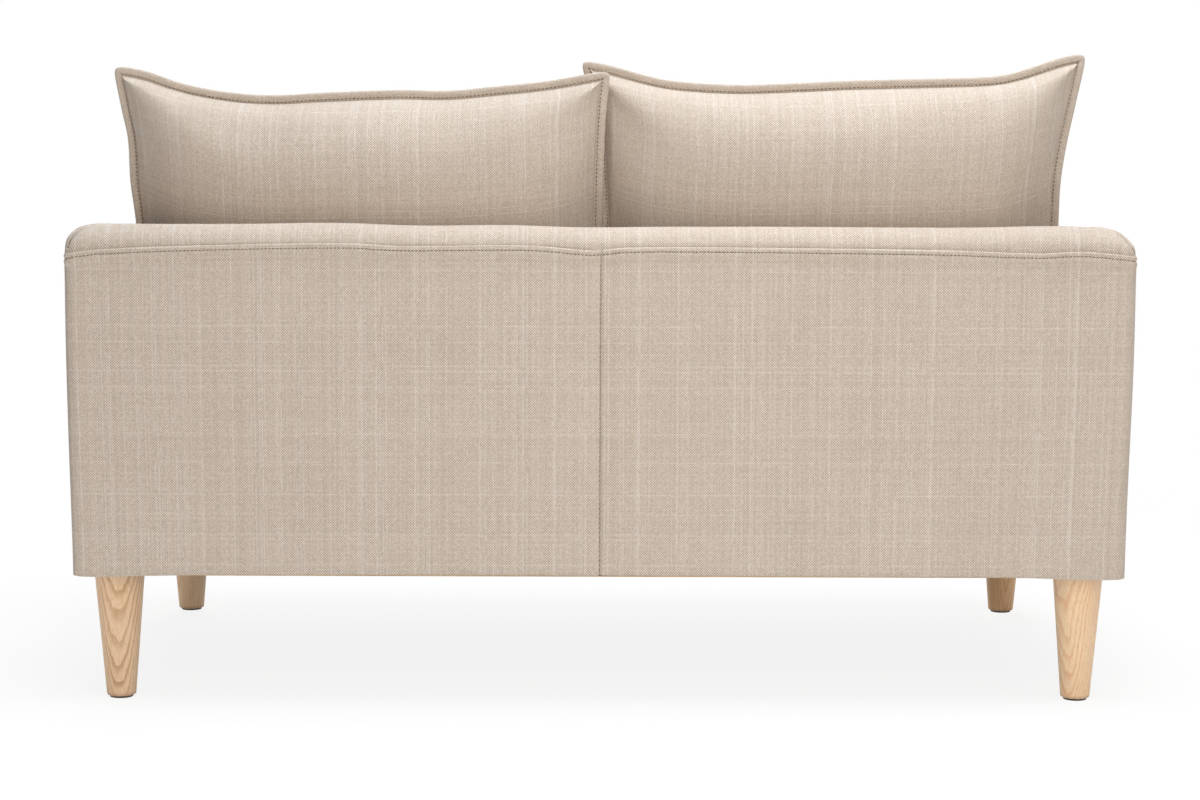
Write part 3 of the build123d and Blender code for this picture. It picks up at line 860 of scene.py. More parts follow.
@dataclass
class ShellForm:
    """Lines of the fixed shell: a low back and two arms with one padded roll on their tops."""

    half_width: float = 0.725
    rear: float = 0.390
    front: float = -0.390
    top: float = 0.657
    front_top: float = 0.590
    underside: float = 0.178
    wall: float = 0.070
    outer_roll: float = 0.032
    inner_roll: float = 0.026
    nose: float = 0.060
    bend: float = 0.400
    level_run: float = 0.002
    seam_drop: float = 0.0323
    corner: float = 0.015
    drawn_in: float = 0.0046
    drawn_between: Point = (0.52, 0.17)
    sunk: float = 0.0085
    sunk_reach: float = 0.042

    def __post_init__(self) -> None:
        """Work out the arm's slope and the lengths of its edge and of the roll."""
        self.bend_y = self.rear - self.wall - self.level_run
        run, drop = self.bend_y - self.front, self.top - self.bend - self.front_top
        self.slope = atan2(drop, run) + asin(self.bend / hypot(run, drop))
        fall, reach = sin(self.slope), cos(self.slope)
        self.level_end = self.bend_y - self.bend * tan(self.slope / 2)
        self.nose_y = self.front + self.nose
        self.nose_z = self.slope_height(self.nose_y, self.nose)
        start = (self.bend_y - self.bend * fall, self.top - self.bend + self.bend * reach)
        end = (self.nose_y - self.nose * fall, self.nose_z + self.nose * reach)
        self.slope_start = start
        self.runs = [
            self.rear - self.bend_y,
            self.bend * self.slope,
            hypot(start[0] - end[0], start[1] - end[1]),
            self.nose * (pi / 2 - self.slope),
            self.nose_z - self.underside,
        ]
        self.edge_length = sum(self.runs)
        self.roll_runs = [
            self.seam_drop - self.outer_roll,
            self.outer_roll * pi / 2,
            self.wall - self.outer_roll - self.inner_roll,
            self.inner_roll * pi / 2,
            self.seam_drop - self.inner_roll,
        ]
        self.roll_girth = sum(self.roll_runs)

    def slope_height(self, y: float, inset: float) -> float:
        """Height of the arm's sloping edge at y, moved in by inset."""
        return self.top - (self.level_end - y) * tan(self.slope) - inset / cos(self.slope)

    def arm_edge(self, run: float) -> tuple[float, float, float, float]:
        """A point on the arm's edge in side view and the outward direction there.

        Args:
            run: distance along the edge from the rear face.

        Returns:
            y, z and the y and z of the direction.
        """
        stretch, run = find_run(run, self.runs)
        if stretch == 0:
            return self.rear - run, self.top, 0.0, 1.0
        if stretch == 2:
            fall, reach = sin(self.slope), cos(self.slope)
            y, z = self.slope_start
            return y - run * reach, z - run * fall, -fall, reach
        if stretch == 4:
            return self.front, self.nose_z - run, -1.0, 0.0
        y, z, radius, turn = self.bend_y, self.top - self.bend, self.bend, run / self.bend
        if stretch == 3:
            y, z, radius, turn = self.nose_y, self.nose_z, self.nose, self.slope + run / self.nose
        return y - radius * sin(turn), z + radius * cos(turn), -sin(turn), cos(turn)

    def arm_height(self, y: float, inset: float) -> float:
        """Height of the arm's edge, moved in.

        Args:
            y: where on the arm.
            inset: how far in.

        Returns:
            The height.
        """
        if y >= self.bend_y:
            return self.top - inset
        radius = self.bend - inset
        if y >= self.bend_y - radius * sin(self.slope):
            return self.top - self.bend + sqrt(radius**2 - (self.bend_y - y) ** 2)
        radius = self.nose - inset
        if y >= self.nose_y - radius * sin(self.slope):
            return self.slope_height(y, inset)
        return self.nose_z + sqrt(max(0.0, radius**2 - (self.nose_y - y) ** 2))

    def roll(self, share: float) -> Point:
        """A point across the roll.

        Args:
            share: 0 at the outer seam and 1 at the inner one.

        Returns:
            Depth in from the outer face, and height from the top.
        """
        stretch, run = find_run(share * self.roll_girth, self.roll_runs)
        if stretch == 0:
            return 0.0, -self.seam_drop + run
        if stretch == 1:
            turn = run / self.outer_roll
            return self.outer_roll * (1 - cos(turn)), self.outer_roll * (sin(turn) - 1)
        if stretch == 2:
            return self.outer_roll + run, 0.0
        if stretch == 3:
            turn = run / self.inner_roll
            return self.wall - self.inner_roll * (1 - sin(turn)), self.inner_roll * (cos(turn) - 1)
        return self.wall, -self.inner_roll - run

    def taper(self, height: float) -> float:
        """How far the outer sides are drawn in at a height."""
        return self.drawn_in * smooth(*self.drawn_between, height)

    def corner_drop(self, x: float, y: float) -> float:
        """How far the softer end of the roll has sunk at a place in plan."""
        beside = max(0.0, 1 - (self.half_width + x) / self.sunk_reach)
        return self.sunk * beside**1.5 * smooth(-0.2, 0.2, y)

    def rounded(self, spot: Vector, radius: float) -> Vector:
        """A point of the shell, its upright rear corners rounded in plan.

        Args:
            spot: the point as if the corners were sharp.
            radius: the corner's radius on the outer face.

        Returns:
            The moved point.
        """
        side = 1 if spot.x > 0 else -1
        from_side = radius - (self.half_width - abs(spot.x))
        from_rear = radius - (self.rear - spot.y)
        if from_side <= 0 or from_rear <= 0:
            return spot
        pull = max(from_side, from_rear) / hypot(from_side, from_rear)
        x = side * (self.half_width - radius + from_side * pull)
        return Vector((x, self.rear - radius + from_rear * pull, spot.z))


@dataclass
class FixedCovers:
    """The covers sewn and stapled over the back, the arms, the front edge and the deck."""

    form: ShellForm
    linen: Material
    thread: Material
    deck_cloth: Material
    dust_cloth: Material
    cover: float = 0.003
    dust_cover: float = 0.0010
    fill: float = 0.9
    stitch_drop: float = 0.0066
    lap: float = 0.0027
    lap_nose: float = 0.0018
    hem_round: float = 0.005
    wrap: float = 0.017
    mitre: float = 0.0030
    mitre_width: float = 0.0030
    mitre_count: int = 34
    soft_corner: float = 0.010
    seam_tuck: float = 0.001
    inside_low: float = 0.276
    border_top: float = 0.2992
    border_edge: float = 0.012
    border_lip: float = 0.047
    deck_top: float = 0.2990
    deck_front: float = -0.3395
    fit_gap: float = 0.0005
    seam_line: Curve = drawn(
        (-0.725, 0.6205), (-0.651, 0.6270), (-0.590, 0.6245), (-0.470, 0.6280), (-0.300, 0.6300),
        (-0.132, 0.6310), (-0.033, 0.6300), (0.011, 0.6262), (0.098, 0.6325), (0.269, 0.6312),
        (0.343, 0.6345), (0.505, 0.6318), (0.676, 0.6250), (0.725, 0.6185),
    )
    crest: Curve = drawn(
        (-0.725, -0.004), (-0.685, -0.0005), (-0.622, 0.0025), (-0.475, 0.0), (-0.134, 0.0),
        (0.014, -0.0016), (0.120, 0.001), (0.240, 0.0), (0.347, 0.0028), (0.505, 0.0010),
        (0.676, 0.0005), (0.725, -0.002),
    )
    hem: Curve = drawn(
        (-0.725, 0.1762), (-0.690, 0.1750), (-0.640, 0.1762), (-0.560, 0.1782), (-0.300, 0.1790),
        (0.0, 0.1792), (0.300, 0.1790), (0.540, 0.1784), (0.640, 0.1765), (0.690, 0.1752),
        (0.725, 0.1764),
    )

    def build(self) -> list[Piece]:
        """Build every fixed cover and its stitching.

        Returns:
            The pieces.
        """
        made = []
        for side in Side:
            made += [self.outside_back(side), self.outside_arm(side), self.inside_arm(side)]
            made += [self.arm_top(side), self.back_stitches(side)]
        made += [self.back_top(), self.inside_back(), self.front_border(), self.deck(), self.dust()]
        return made + [self.centre_stitches()] + [self.mitre_stitches(side) for side in Side]

    def _dress(
        self, bm: BMesh, inner: Vector, name: str, nodes: Sequence[str], slot: str = "linen"
    ) -> Piece:
        """Finish a cover: faces, cloth, thickness, body and the nodes it stands for.

        Args:
            bm: its mesh.
            inner: a point behind it.
            name: the piece's name.
            nodes: the nodes it stands for.
            slot: its slot, which says the cloth.

        Returns:
            The piece.
        """
        cloth, thickness = {
            "linen": (self.linen, self.cover),
            "deck_cloth": (self.deck_cloth, self.cover),
            "dust_cloth": (self.dust_cloth, self.dust_cover),
        }[slot]
        face_out(bm, inner)
        piece = finish_mesh(bm, name, cloth)
        thicken(piece, thickness)
        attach(piece, "frame")
        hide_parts(*nodes)
        return piece

    def back_spot(self, side: Side, run: float, height: float) -> Vector:
        """A point on the outside back.

        Args:
            side: which half.
            run: distance from the middle along the cloth, round the rear corner.
            height: distance up from the floor.

        Returns:
            The point.
        """
        form, sign = self.form, side.value
        x = min(run, form.half_width)
        seam, hem = self.seam_line(sign * x), self.hem(sign * x)
        below = max(0.0, seam - height)
        past = max(0.0, run - form.half_width)
        nose = sqrt(1 - (1 - min(1.0, below / self.lap_nose)) ** 2)
        lap = self.lap * smooth(0.020, 0.011, below) * nose * smooth(0.012, 0.0, past)
        stitch_dent = 0.0012 * bell(below - self.stitch_drop, 0.0014)
        seam_dent = 0.0022 * bell(x, 0.0026) + 0.0010 * bell(x, 0.012)
        beside_seam = smooth(0.05, 0.012, below) * smooth(0.006, 0.012, below)
        pucker = 0.0007 * ripple(x * 55, height * 9, 2.0 + sign) * beside_seam
        slack = 0.0007 * ripple(x * 6, height * 6, 5.0 * sign)
        hem_wave = 0.0006 * ripple(x * 70, height * 3, 7.0) * smooth(0.03, 0.0, height - hem)
        seam_wave = 0.0006 * ripple(x * 3, height * 60, 11.0) * smooth(0.05, 0.004, x)
        lift = lap - stitch_dent - seam_dent + pucker + slack + hem_wave + seam_wave
        lift_side, lift_rear = (lift, 0.0) if past > 0 else (0.0, lift)
        spot = Vector((sign * (x + lift_side), form.rear + lift_rear - past, height))
        spot = form.rounded(spot, form.corner)
        spot.x -= sign * form.taper(height) * smooth(0.3, form.half_width, x)
        turn = max(0.0, (hem + self.hem_round - height) / self.hem_round)
        if turn > 0:
            spot.y -= self.hem_round * (1 - cos(turn * pi / 2))
            spot.z = hem + self.hem_round * (1 - sin(min(1.5, turn) * pi / 2))
        return spot

    def outside_back(self, side: Side) -> Piece:
        """One half of the outside back, lapped over the boxing and wrapped round its corner.

        Args:
            side: which half.

        Returns:
            The piece.
        """
        form, total = self.form, self.form.half_width + self.wrap
        seam_end, corner_start = 0.02, form.half_width - 0.025

        def run_at(share: float) -> float:
            """Distance from the middle, in close steps at the seam and the corner.

            Args:
                share: share of the columns.

            Returns:
                The distance.
            """
            if share < 0.1:
                return share / 0.1 * seam_end
            if share < 0.8:
                return seam_end + (share - 0.1) / 0.7 * (corner_start - seam_end)
            return corner_start + (share - 0.8) / 0.2 * (total - corner_start)

        def flat(u: float, v: float) -> Point:
            """Distance from the middle and height.

            Args:
                u: share across.
                v: share along.

            Returns:
                The distance and the height.
            """
            run = run_at(u)
            x = min(run, form.half_width) * side.value
            low, high = self.hem(x) - self.hem_round * 0.5, self.seam_line(x)
            return run, low + dense_ends(v, high - low, 0.024, 0.28)

        def lay(u: float, v: float) -> Point:
            """The weave map there."""
            run, height = flat(u, v)
            return side.value * run, height

        bm = cloth_grid(150, 96, lambda u, v: self.back_spot(side, *flat(u, v)), lay)
        nodes = ["outside_back_cover_" + side.word]
        piece = self._dress(bm, SOFA_MIDDLE, "outside_back_" + side.word, nodes)
        return piece

    def back_stitches(self, side: Side) -> Piece:
        """The row of stitches below the lapped seam.

        Args:
            side: which half of the back.

        Returns:
            The piece.
        """
        stitch = Stitch(0.0052, 0.0036, 0.0013, self.thread)
        proud = REARWARD * 0.0002
        spots = []
        for index in range(int(self.form.half_width / stitch.pitch)):
            run = 0.004 + index * stitch.pitch
            height = self.seam_line(side.value * run) - self.stitch_drop
            height += 0.0004 * ripple(run * 90, 0, 3.0)
            spots.append(self.back_spot(side, run, height) + proud)
        return stitch.row("back_stitches_" + side.word, "frame", spots, [REARWARD] * len(spots))

    def centre_stitches(self) -> Piece:
        """Small stitches down the middle seam of the outside back.

        Returns:
            The piece.
        """
        stitch = Stitch(0.0065, 0.0026, 0.0008, self.thread)
        low, high = self.hem(0.0) + 0.004, self.seam_line(0.0) - 0.010
        start = Vector((0.0007, self.form.rear - 0.0012, low))
        count = int((high - low) / stitch.pitch)
        spots = [start + UPWARD * (index * stitch.pitch) for index in range(count)]
        return stitch.row("centre_stitches", "frame", spots, [REARWARD] * count)

    @staticmethod
    def mitre_inset(x: float) -> float:
        """How far inside the corner an end's mitre runs; the right arm's boxing swells past it."""
        return 0.006 if x > 0 else 0.0

    def back_top_spot(self, u: float, v: float) -> Vector:
        """A point on the boxing along the back.

        Args:
            u: share of its length, from the left mitre to the right one.
            v: share of its girth, from the outer seam to the inner one.

        Returns:
            The point.
        """
        form = self.form
        depth, height = form.roll(v)
        x = (2 * u - 1) * (form.half_width - depth)
        up = smooth(-form.seam_drop, -0.004, height)
        end = form.half_width - depth - abs(x)
        sunk = self.mitre * bell(end - self.mitre_inset(x), self.mitre_width)
        sunk += form.corner_drop(x, form.rear - depth)
        rise = (self.crest(x) + 0.0010 * ripple(x * 9, depth * 20, 1.0) - sunk) * up
        spot = Vector((x, form.rear - depth - 0.0004, form.top + height + rise))
        low = smooth(0.12, 0.0, v)
        spot.z += (self.seam_line(x) - 0.004 - form.top + form.seam_drop) * low
        spot.y -= 0.0014 * low - 0.0008 * ripple(x * 40, height * 30, 6.0) * smooth(0.3, 0.08, v)
        return form.rounded(spot, form.corner + self.soft_corner * up)

    def mitre_stitches(self, side: Side) -> Piece:
        """Close stitches along the mitre where the back's boxing meets an arm's.

        Args:
            side: which end.

        Returns:
            The piece.
        """
        form, last = self.form, self.mitre_count - 1
        stitch = Stitch(0.0034, 0.0034, 0.0015, self.thread)
        inset = self.mitre_inset(side.value) / (2 * form.half_width)
        end = 1.0 - inset if side is Side.RIGHT else inset
        inner_x = side.value * (form.half_width - form.wall / 2)
        middle = Vector((inner_x, form.rear - form.wall / 2, form.top - 0.04))
        shares = [0.07 + 0.86 * index / last for index in range(self.mitre_count)]
        spots = [self.back_top_spot(end, share) for share in shares]
        outs = [(spot - middle).normalized() for spot in spots]
        spots = [spot + out * 0.0002 for spot, out in zip(spots, outs)]
        return stitch.row("mitre_stitches_" + side.word, "frame", spots, outs)

    def back_top(self) -> Piece:
        """The boxing along the top of the back, mitred at its ends.

        Returns:
            The piece.
        """
        form = self.form

        def lay(u: float, v: float) -> Point:
            """The weave map there."""
            return (2 * u - 1) * (form.half_width - form.roll(v)[0]), v * form.roll_girth

        bm = cloth_grid(280, 40, self.back_top_spot, lay)
        inner = Vector((0, form.rear - form.wall / 2, form.top - 0.1))
        return self._dress(bm, inner, "back_top", ["back_top_cover"])

    def arm_top(self, side: Side) -> Piece:
        """The boxing along the top of an arm, over its nose and down its front.

        Args:
            side: which arm.

        Returns:
            The piece.
        """
        form, sign = self.form, side.value

        def along(u: float, depth: float) -> float:
            """Distance along the arm's edge, from the mitre."""
            return depth + (form.edge_length - depth) * u

        def place(u: float, v: float) -> Vector:
            """The point there.

            Args:
                u: share across.
                v: share along.

            Returns:
                The point.
            """
            depth, height = form.roll(v)
            run = along(u, depth)
            y, z, out_y, out_z = form.arm_edge(run)
            up = smooth(-form.seam_drop, -0.004, height)
            x = sign * (form.half_width - depth)
            rise = 0.0012 * ripple(run * 9, depth * 20, 8.0 * sign)
            rise -= self.mitre * bell(run - depth, self.mitre_width) + form.corner_drop(x, y)
            rise = rise * up + height
            spot = Vector((x - sign * 0.0004, y + out_y * rise, z + out_z * rise))
            spot.z -= 0.009 * smooth(0.12, 0.0, v) * smooth(0.05, 0.02, run)
            return form.rounded(spot, form.corner + self.soft_corner * up)

        def lay(u: float, v: float) -> Point:
            """The weave map there."""
            return sign * v * form.roll_girth, along(u, form.roll(v)[0])

        bm = cloth_grid(240, 40, place, lay)
        inner = Vector((sign * (form.half_width - form.wall / 2), 0.0, 0.3))
        piece = self._dress(bm, inner, "arm_top_" + side.word, ["arm_top_cover_" + side.word])
        return piece

    def _arm_panel(
        self, side: Side, face: float, rear: float, low: float, swell: float, seed: float
    ) -> BMesh:
        """A flat panel of an arm up to the roll's seam.

        Args:
            side: which arm.
            face: distance of the panel from the sofa's middle.
            rear: its rear end on Y.
            low: its lower edge.
            swell: how far its middle stands out of its plane.
            seed: which unevenness it takes.

        Returns:
            The mesh.
        """
        form, sign = self.form, side.value
        outward = 1 if swell >= 0 else -1
        front = form.front + form.seam_drop - self.seam_tuck

        def flat(u: float, v: float) -> Point:
            """Place in side view."""
            y = rear + (front - rear) * sin(u * pi / 2)
            return y, low + (form.arm_height(y, form.seam_drop - self.seam_tuck) - low) * v

        def place(u: float, v: float) -> Vector:
            """The point there.

            Args:
                u: share across.
                v: share along.

            Returns:
                The point.
            """
            y, z = flat(u, v)
            dent = 0.0014 * max(bell((1 - v) * 0.3, 0.004), bell((1 - u) * 0.3, 0.004))
            out = swell * margin(u, v, 6) + outward * (0.0009 * ripple(y * 6, z * 6, seed) - dent)
            if outward > 0:
                out -= form.taper(z) * smooth(form.front, 0.2, y)
            return Vector((sign * (face + out), y, z))

        def lay(u: float, v: float) -> Point:
            """The weave map there."""
            y, z = flat(u, v)
            return sign * y, z

        return cloth_grid(90, 56, place, lay)

    def outside_arm(self, side: Side) -> Piece:
        """The outside of an arm.

        Args:
            side: which arm.

        Returns:
            The piece.
        """
        form, word = self.form, side.word
        rear = form.rear - self.wrap + self.seam_tuck
        seed = 20.0 + side.value
        bm = self._arm_panel(side, form.half_width, rear, form.underside, 0.0012, seed)
        piece = self._dress(bm, SOFA_MIDDLE, "outside_arm_" + word, ["outside_arm_cover_" + word])
        return piece

    def inside_arm(self, side: Side) -> Piece:
        """The inside of an arm with its foam.

        Args:
            side: which arm.

        Returns:
            The piece.
        """
        form, word = self.form, side.word
        rear, face = form.rear - form.wall + self.seam_tuck, form.half_width - form.wall
        bm = self._arm_panel(side, face, rear, self.inside_low, -0.0008, 30.0 + side.value)
        inner = Vector((side.value * form.half_width, 0, 0.4))
        nodes = ["inside_arm_cover_" + word, "arm_foam_" + word]
        return self._dress(bm, inner, "inside_arm_" + word, nodes)

    def inside_back(self) -> Piece:
        """The inside of the back with its foam.

        Returns:
            The piece.
        """
        form, low = self.form, self.inside_low
        half, high = form.half_width - form.wall, form.top - form.seam_drop + self.seam_tuck

        def lay(u: float, v: float) -> Point:
            """The weave map there."""
            return (2 * u - 1) * half, low + (high - low) * v

        def place(u: float, v: float) -> Vector:
            """The point there.

            Args:
                u: share across.
                v: share along.

            Returns:
                The point.
            """
            x, z = lay(u, v)
            out = 0.0006 * margin(u, v, 8) + 0.0006 * ripple(x * 5, z * 6, 41.0)
            out -= 0.0012 * bell((1 - v) * 0.3, 0.004)
            return Vector((x, form.rear - form.wall + 0.0010 - out, z))

        bm = cloth_grid(130, 40, place, lay)
        nodes = ["inside_back_cover", "back_foam"]
        piece = self._dress(bm, Vector((0, form.rear, 0.4)), "inside_back", nodes)
        return piece

    def front_border(self) -> Piece:
        """The padded band below the seat cushions, rolled over the front edge.

        Returns:
            The piece.
        """
        form, top, edge = self.form, self.border_top, self.border_edge
        half, face = form.half_width - form.wall - self.fit_gap, form.front + 0.002
        runs = (top - edge - form.underside, edge * pi / 2, self.border_lip - edge)

        def lay(u: float, v: float) -> Point:
            """The weave map there."""
            return (2 * u - 1) * half, v * sum(runs)

        def place(u: float, v: float) -> Vector:
            """The point there.

            Args:
                u: share across.
                v: share along.

            Returns:
                The point.
            """
            x, run = lay(u, v)
            puff = 0.0007 * ripple(x * 6, run * 9, 50.0)
            stretch, run = find_run(run, runs)
            if stretch == 0:
                return Vector((x, face - puff, form.underside + run))
            if stretch == 2:
                return Vector((x, face + edge + run, top - 0.0006 + puff * 0.4))
            turn, radius = run / edge, edge + puff
            return Vector((x, face + edge - radius * cos(turn), top - edge + radius * sin(turn)))

        bm = cloth_grid(130, 36, place, lay)
        nodes = ["front_border_cover", "front_border_pad"]
        piece = self._dress(bm, Vector((0, 0, 0.1)), "front_border", nodes)
        return piece

    def deck(self) -> Piece:
        """Plain cloth over the deck pad, under the seat cushions.

        Returns:
            The piece.
        """
        form, front = self.form, self.deck_front
        half = form.half_width - form.wall - self.fit_gap
        rear = form.rear - form.wall - self.fit_gap

        def place(u: float, v: float) -> Vector:
            """The point there.

            Args:
                u: share across.
                v: share along.

            Returns:
                The point.
            """
            x, y = (2 * u - 1) * half, front + (rear - front) * v
            sag = 0.0016 * margin(u, v, 8) * (0.6 + 0.4 * ripple(x * 5, y * 4, 60.0))
            return Vector((x, y, self.deck_top - sag))

        bm = cloth_grid(130, 64, place, lambda u, v: ((2 * u - 1) * half, rear * v))
        nodes = ["deck_cover", "deck_pad"]
        piece = self._dress(bm, Vector((0, 0, 0)), "deck", nodes, "deck_cloth")
        return piece

    def dust(self) -> Piece:
        """Thin cloth stapled under the frame.

        Returns:
            The piece.
        """
        form = self.form
        half, front, rear = form.half_width - 0.012, form.front + 0.034, form.rear - 0.018

        def place(u: float, v: float) -> Vector:
            """The point there.

            Args:
                u: share across.
                v: share along.

            Returns:
                The point.
            """
            x, y = (2 * u - 1) * half, front + (rear - front) * v
            wave = 0.0006 * ripple(x * 7, y * 7, 70.0) - 0.0004 * margin(u, v, 8)
            return Vector((x, y, form.underside + 0.0004 + wave))

        bm = cloth_grid(110, 60, place, lambda u, v: ((2 * u - 1) * half, v * 0.74))
        piece = self._dress(bm, UPWARD, "dust", ["dust_cover"], "dust_cloth")
        return piece


@dataclass
class Boards:
    """Thin pressed boards between the frame and the outside covers, drawn in with them."""

    form: ShellForm
    hardboard: Material
    low: float = 0.1815
    cover: float = 0.0042
    thickness: float = 0.0018
    top_gap: float = 0.006
    inner_face: float = 0.6902
    arm_ends: Point = (0.018, 0.034)

    def build(self) -> list[Piece]:
        """Build the back board and the boards of both arms.

        Returns:
            The pieces.
        """
        made = [self._finish(self.back(), "back_panel_board", "back_board")]
        for side in Side:
            bm = self.arm(side, self.form.half_width - self.cover, 1)
            add_mesh(bm, self.arm(side, self.inner_face, 0))
            name = "arm_panel_boards_" + side.word
            made.append(self._finish(bm, name, "arm_boards_" + side.word))
        return made

    def _finish(self, bm: BMesh, name: str, node: str) -> Piece:
        """Give a board its thickness, edge and finish.

        Args:
            bm: its mesh.
            name: the piece's name.
            node: the node it stands for.

        Returns:
            The piece.
        """
        piece = finish_mesh(bm, name, self.hardboard)
        thicken(piece, self.thickness)
        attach(piece, "frame")
        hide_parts(node)
        return piece

    def back(self) -> BMesh:
        """The board behind the back.

        Returns:
            The mesh.
        """
        form, high = self.form, self.form.top - self.form.seam_drop - self.top_gap

        def place(u: float, v: float) -> Vector:
            """The point there.

            Args:
                u: share across.
                v: share along.

            Returns:
                The point.
            """
            z = self.low + (high - self.low) * v
            half = form.half_width - form.corner - form.taper(z)
            return Vector(((2 * u - 1) * half, form.rear - self.cover, z))

        bm = cloth_grid(24, 12, place, lambda u, v: (u * 1.42, v * 0.44))
        face_out(bm, SOFA_MIDDLE)
        return bm

    def arm(self, side: Side, face: float, drawn_share: float) -> BMesh:
        """One board of an arm.

        Args:
            side: which arm.
            face: its distance from the sofa's middle.
            drawn_share: how much of the sides' taper it takes.

        Returns:
            The mesh.
        """
        form = self.form
        rear, front = form.rear - self.arm_ends[0], form.front + self.arm_ends[1]

        def place(u: float, v: float) -> Vector:
            """The point there.

            Args:
                u: share across.
                v: share along.

            Returns:
                The point.
            """
            y = rear + (front - rear) * u
            z = self.low + (form.arm_height(y, form.seam_drop + self.top_gap) - self.low) * v
            inward = drawn_share * form.taper(z) * smooth(form.front, 0.2, y)
            return Vector((side.value * (face - inward), y, z))

        bm = cloth_grid(24, 12, place, lambda u, v: (u * 0.7, v * 0.44))
        face_out(bm, SOFA_MIDDLE)
        return bm


# Cushions


@dataclass
class Loop:
    """A closed outline in a cushion's own plane, four sides of evenly spaced points."""

    across: int
    up: int
    points: list[Vector]

    def softened(self, passes: int) -> "Loop":
        """The outline with its corners rounded by averaging.

        Args:
            passes: how many times each point moves between its neighbours.

        Returns:
            The new outline.
        """
        points, count = self.points, len(self.points)
        for _ in range(passes):
            points = [
                (points[i - 1] + points[i] * 2 + points[(i + 1) % count]) / 4 for i in range(count)
            ]
        return Loop(self.across, self.up, points)

    def moved_in(self, distance: float) -> "Loop":
        """The outline moved towards its inside.

        Args:
            distance: how far.

        Returns:
            The new outline.
        """
        count, moved = len(self.points), []
        for index, point in enumerate(self.points):
            along = self.points[(index + 1) % count] - self.points[index - 1]
            inward = Vector((-along.y, along.x)).normalized()
            moved.append(point + inward * distance)
        return Loop(self.across, self.up, moved)

    def side(self, which: int, share: float) -> Vector:
        """A point on one side.

        Args:
            which: 0 bottom, 1 right, 2 top and 3 left.
            share: how far along it, from left to right or from bottom to top.

        Returns:
            The point.
        """
        starts = (0, self.across, 2 * self.across + self.up, 2 * self.across + 2 * self.up)
        count = self.across if which in (0, 2) else self.up
        step = 1 if which in (0, 1) else -1
        place = share * count
        first = min(count - 1, floor(place))
        size = len(self.points)
        a = self.points[(starts[which] + step * first) % size]
        b = self.points[(starts[which] + step * (first + 1)) % size]
        return a + (b - a) * (place - first)

    def inside(self, u: float, v: float) -> Vector:
        """A point inside, blended from the four sides.

        Args:
            u: share from left to right.
            v: share from bottom to top.

        Returns:
            The point.
        """
        bottom, right, top, left = (self.side(i, s) for i, s in enumerate((u, v, u, v)))
        flat = bottom * (1 - v) + top * v + left * (1 - u) + right * u
        low = self.side(0, 0) * (1 - u) + self.side(0, 1) * u
        high = self.side(2, 0) * (1 - u) + self.side(2, 1) * u
        return flat - (low * (1 - v) + high * v)


def outline(sides: Sequence[Sequence[Point]], across: int, up: int) -> Loop:
    """An outline from four lists of points: bottom, right, top leftwards and left downwards.

    Args:
        sides: the points, each list starting at the corner where the last one ended.
        across: cells along the bottom and the top.
        up: cells along the sides.

    Returns:
        The outline, going round to the left.
    """
    points: list[Vector] = []
    for index, side in enumerate(sides):
        runs = [0.0]
        for first, second in zip(side, side[1:]):
            runs.append(runs[-1] + hypot(second[0] - first[0], second[1] - first[1]))
        x_line, y_line = (Curve([(run, p[i]) for run, p in zip(runs, side)]) for i in (0, 1))
        count = across if index in (0, 2) else up
        places = [runs[-1] * i / count for i in range(count)]
        points += [Vector((x_line(place), y_line(place))) for place in places]
    return Loop(across, up, points)


@dataclass(frozen=True)
class Swelling:
    """How a cushion's cover is let swell by its filling."""

    pressure: float = 4.0
    growth: float = 0.007
    limit: float = 0.014
    bending: float = 1.2
    tension: float = 18.0
    shear: float = 6.0
    mass: float = 0.25
    quality: int = 6
    frames: int = 20
    relaxing: int = 34

    def run(self, piece: Piece, pinned: Sequence[int]) -> None:
        """Let the cover swell as cloth, its seams held, and even out what it moved.

        Args:
            piece: the cushion, changed in place.
            pinned: the points of its seams.
        """
        moved, held = self._swollen(piece, pinned), set(pinned)
        bm = bmesh.new()
        bm.from_mesh(piece.data)
        unswollen = [vertex.co.copy() for vertex in bm.verts]
        for vertex, spot in zip(bm.verts, moved):
            step = spot - vertex.co
            if step.length > self.limit:
                step *= self.limit / step.length
            vertex.co = step
        free = [v for v in bm.verts if v.index not in held]
        axes = {"use_axis_x": True, "use_axis_y": True, "use_axis_z": True}
        for _ in range(self.relaxing):
            bmesh.ops.smooth_vert(bm, verts=free, factor=0.5, **axes)
        for vertex, spot in zip(bm.verts, unswollen):
            vertex.co += spot
        bm.to_mesh(piece.data)
        bm.free()

    def _swollen(self, piece: Piece, pinned: Sequence[int]) -> list[Vector]:
        """Run the cover as cloth under pressure.

        Args:
            piece: the cushion, left as it was.
            pinned: the points that stay.

        Returns:
            Where each point went.
        """
        group = piece.vertex_groups.new(name="seams")
        group.add(pinned, 1.0, "REPLACE")
        cloth = piece.modifiers.new("swell", "CLOTH")
        settings = cloth.settings
        settings.quality = self.quality
        settings.mass = self.mass
        settings.tension_stiffness = settings.compression_stiffness = self.tension
        settings.shear_stiffness = self.shear
        settings.bending_stiffness = self.bending
        settings.use_pressure = True
        settings.uniform_pressure_force = self.pressure
        settings.effector_weights.gravity = 0
        settings.vertex_group_mass = "seams"
        settings.shrink_min = settings.shrink_max = -self.growth
        cloth.collision_settings.use_collision = False
        cloth.collision_settings.use_self_collision = False
        cloth.point_cache.frame_start = 1
        cloth.point_cache.frame_end = self.frames
        scene = bpy.context.scene
        for number in range(1, self.frames + 1):
            scene.frame_set(number)
        shape = piece.evaluated_get(bpy.context.evaluated_depsgraph_get())
        moved = [vertex.co.copy() for vertex in shape.data.vertices]
        piece.modifiers.remove(cloth)
        piece.vertex_groups.clear()
        scene.frame_set(1)
        return moved


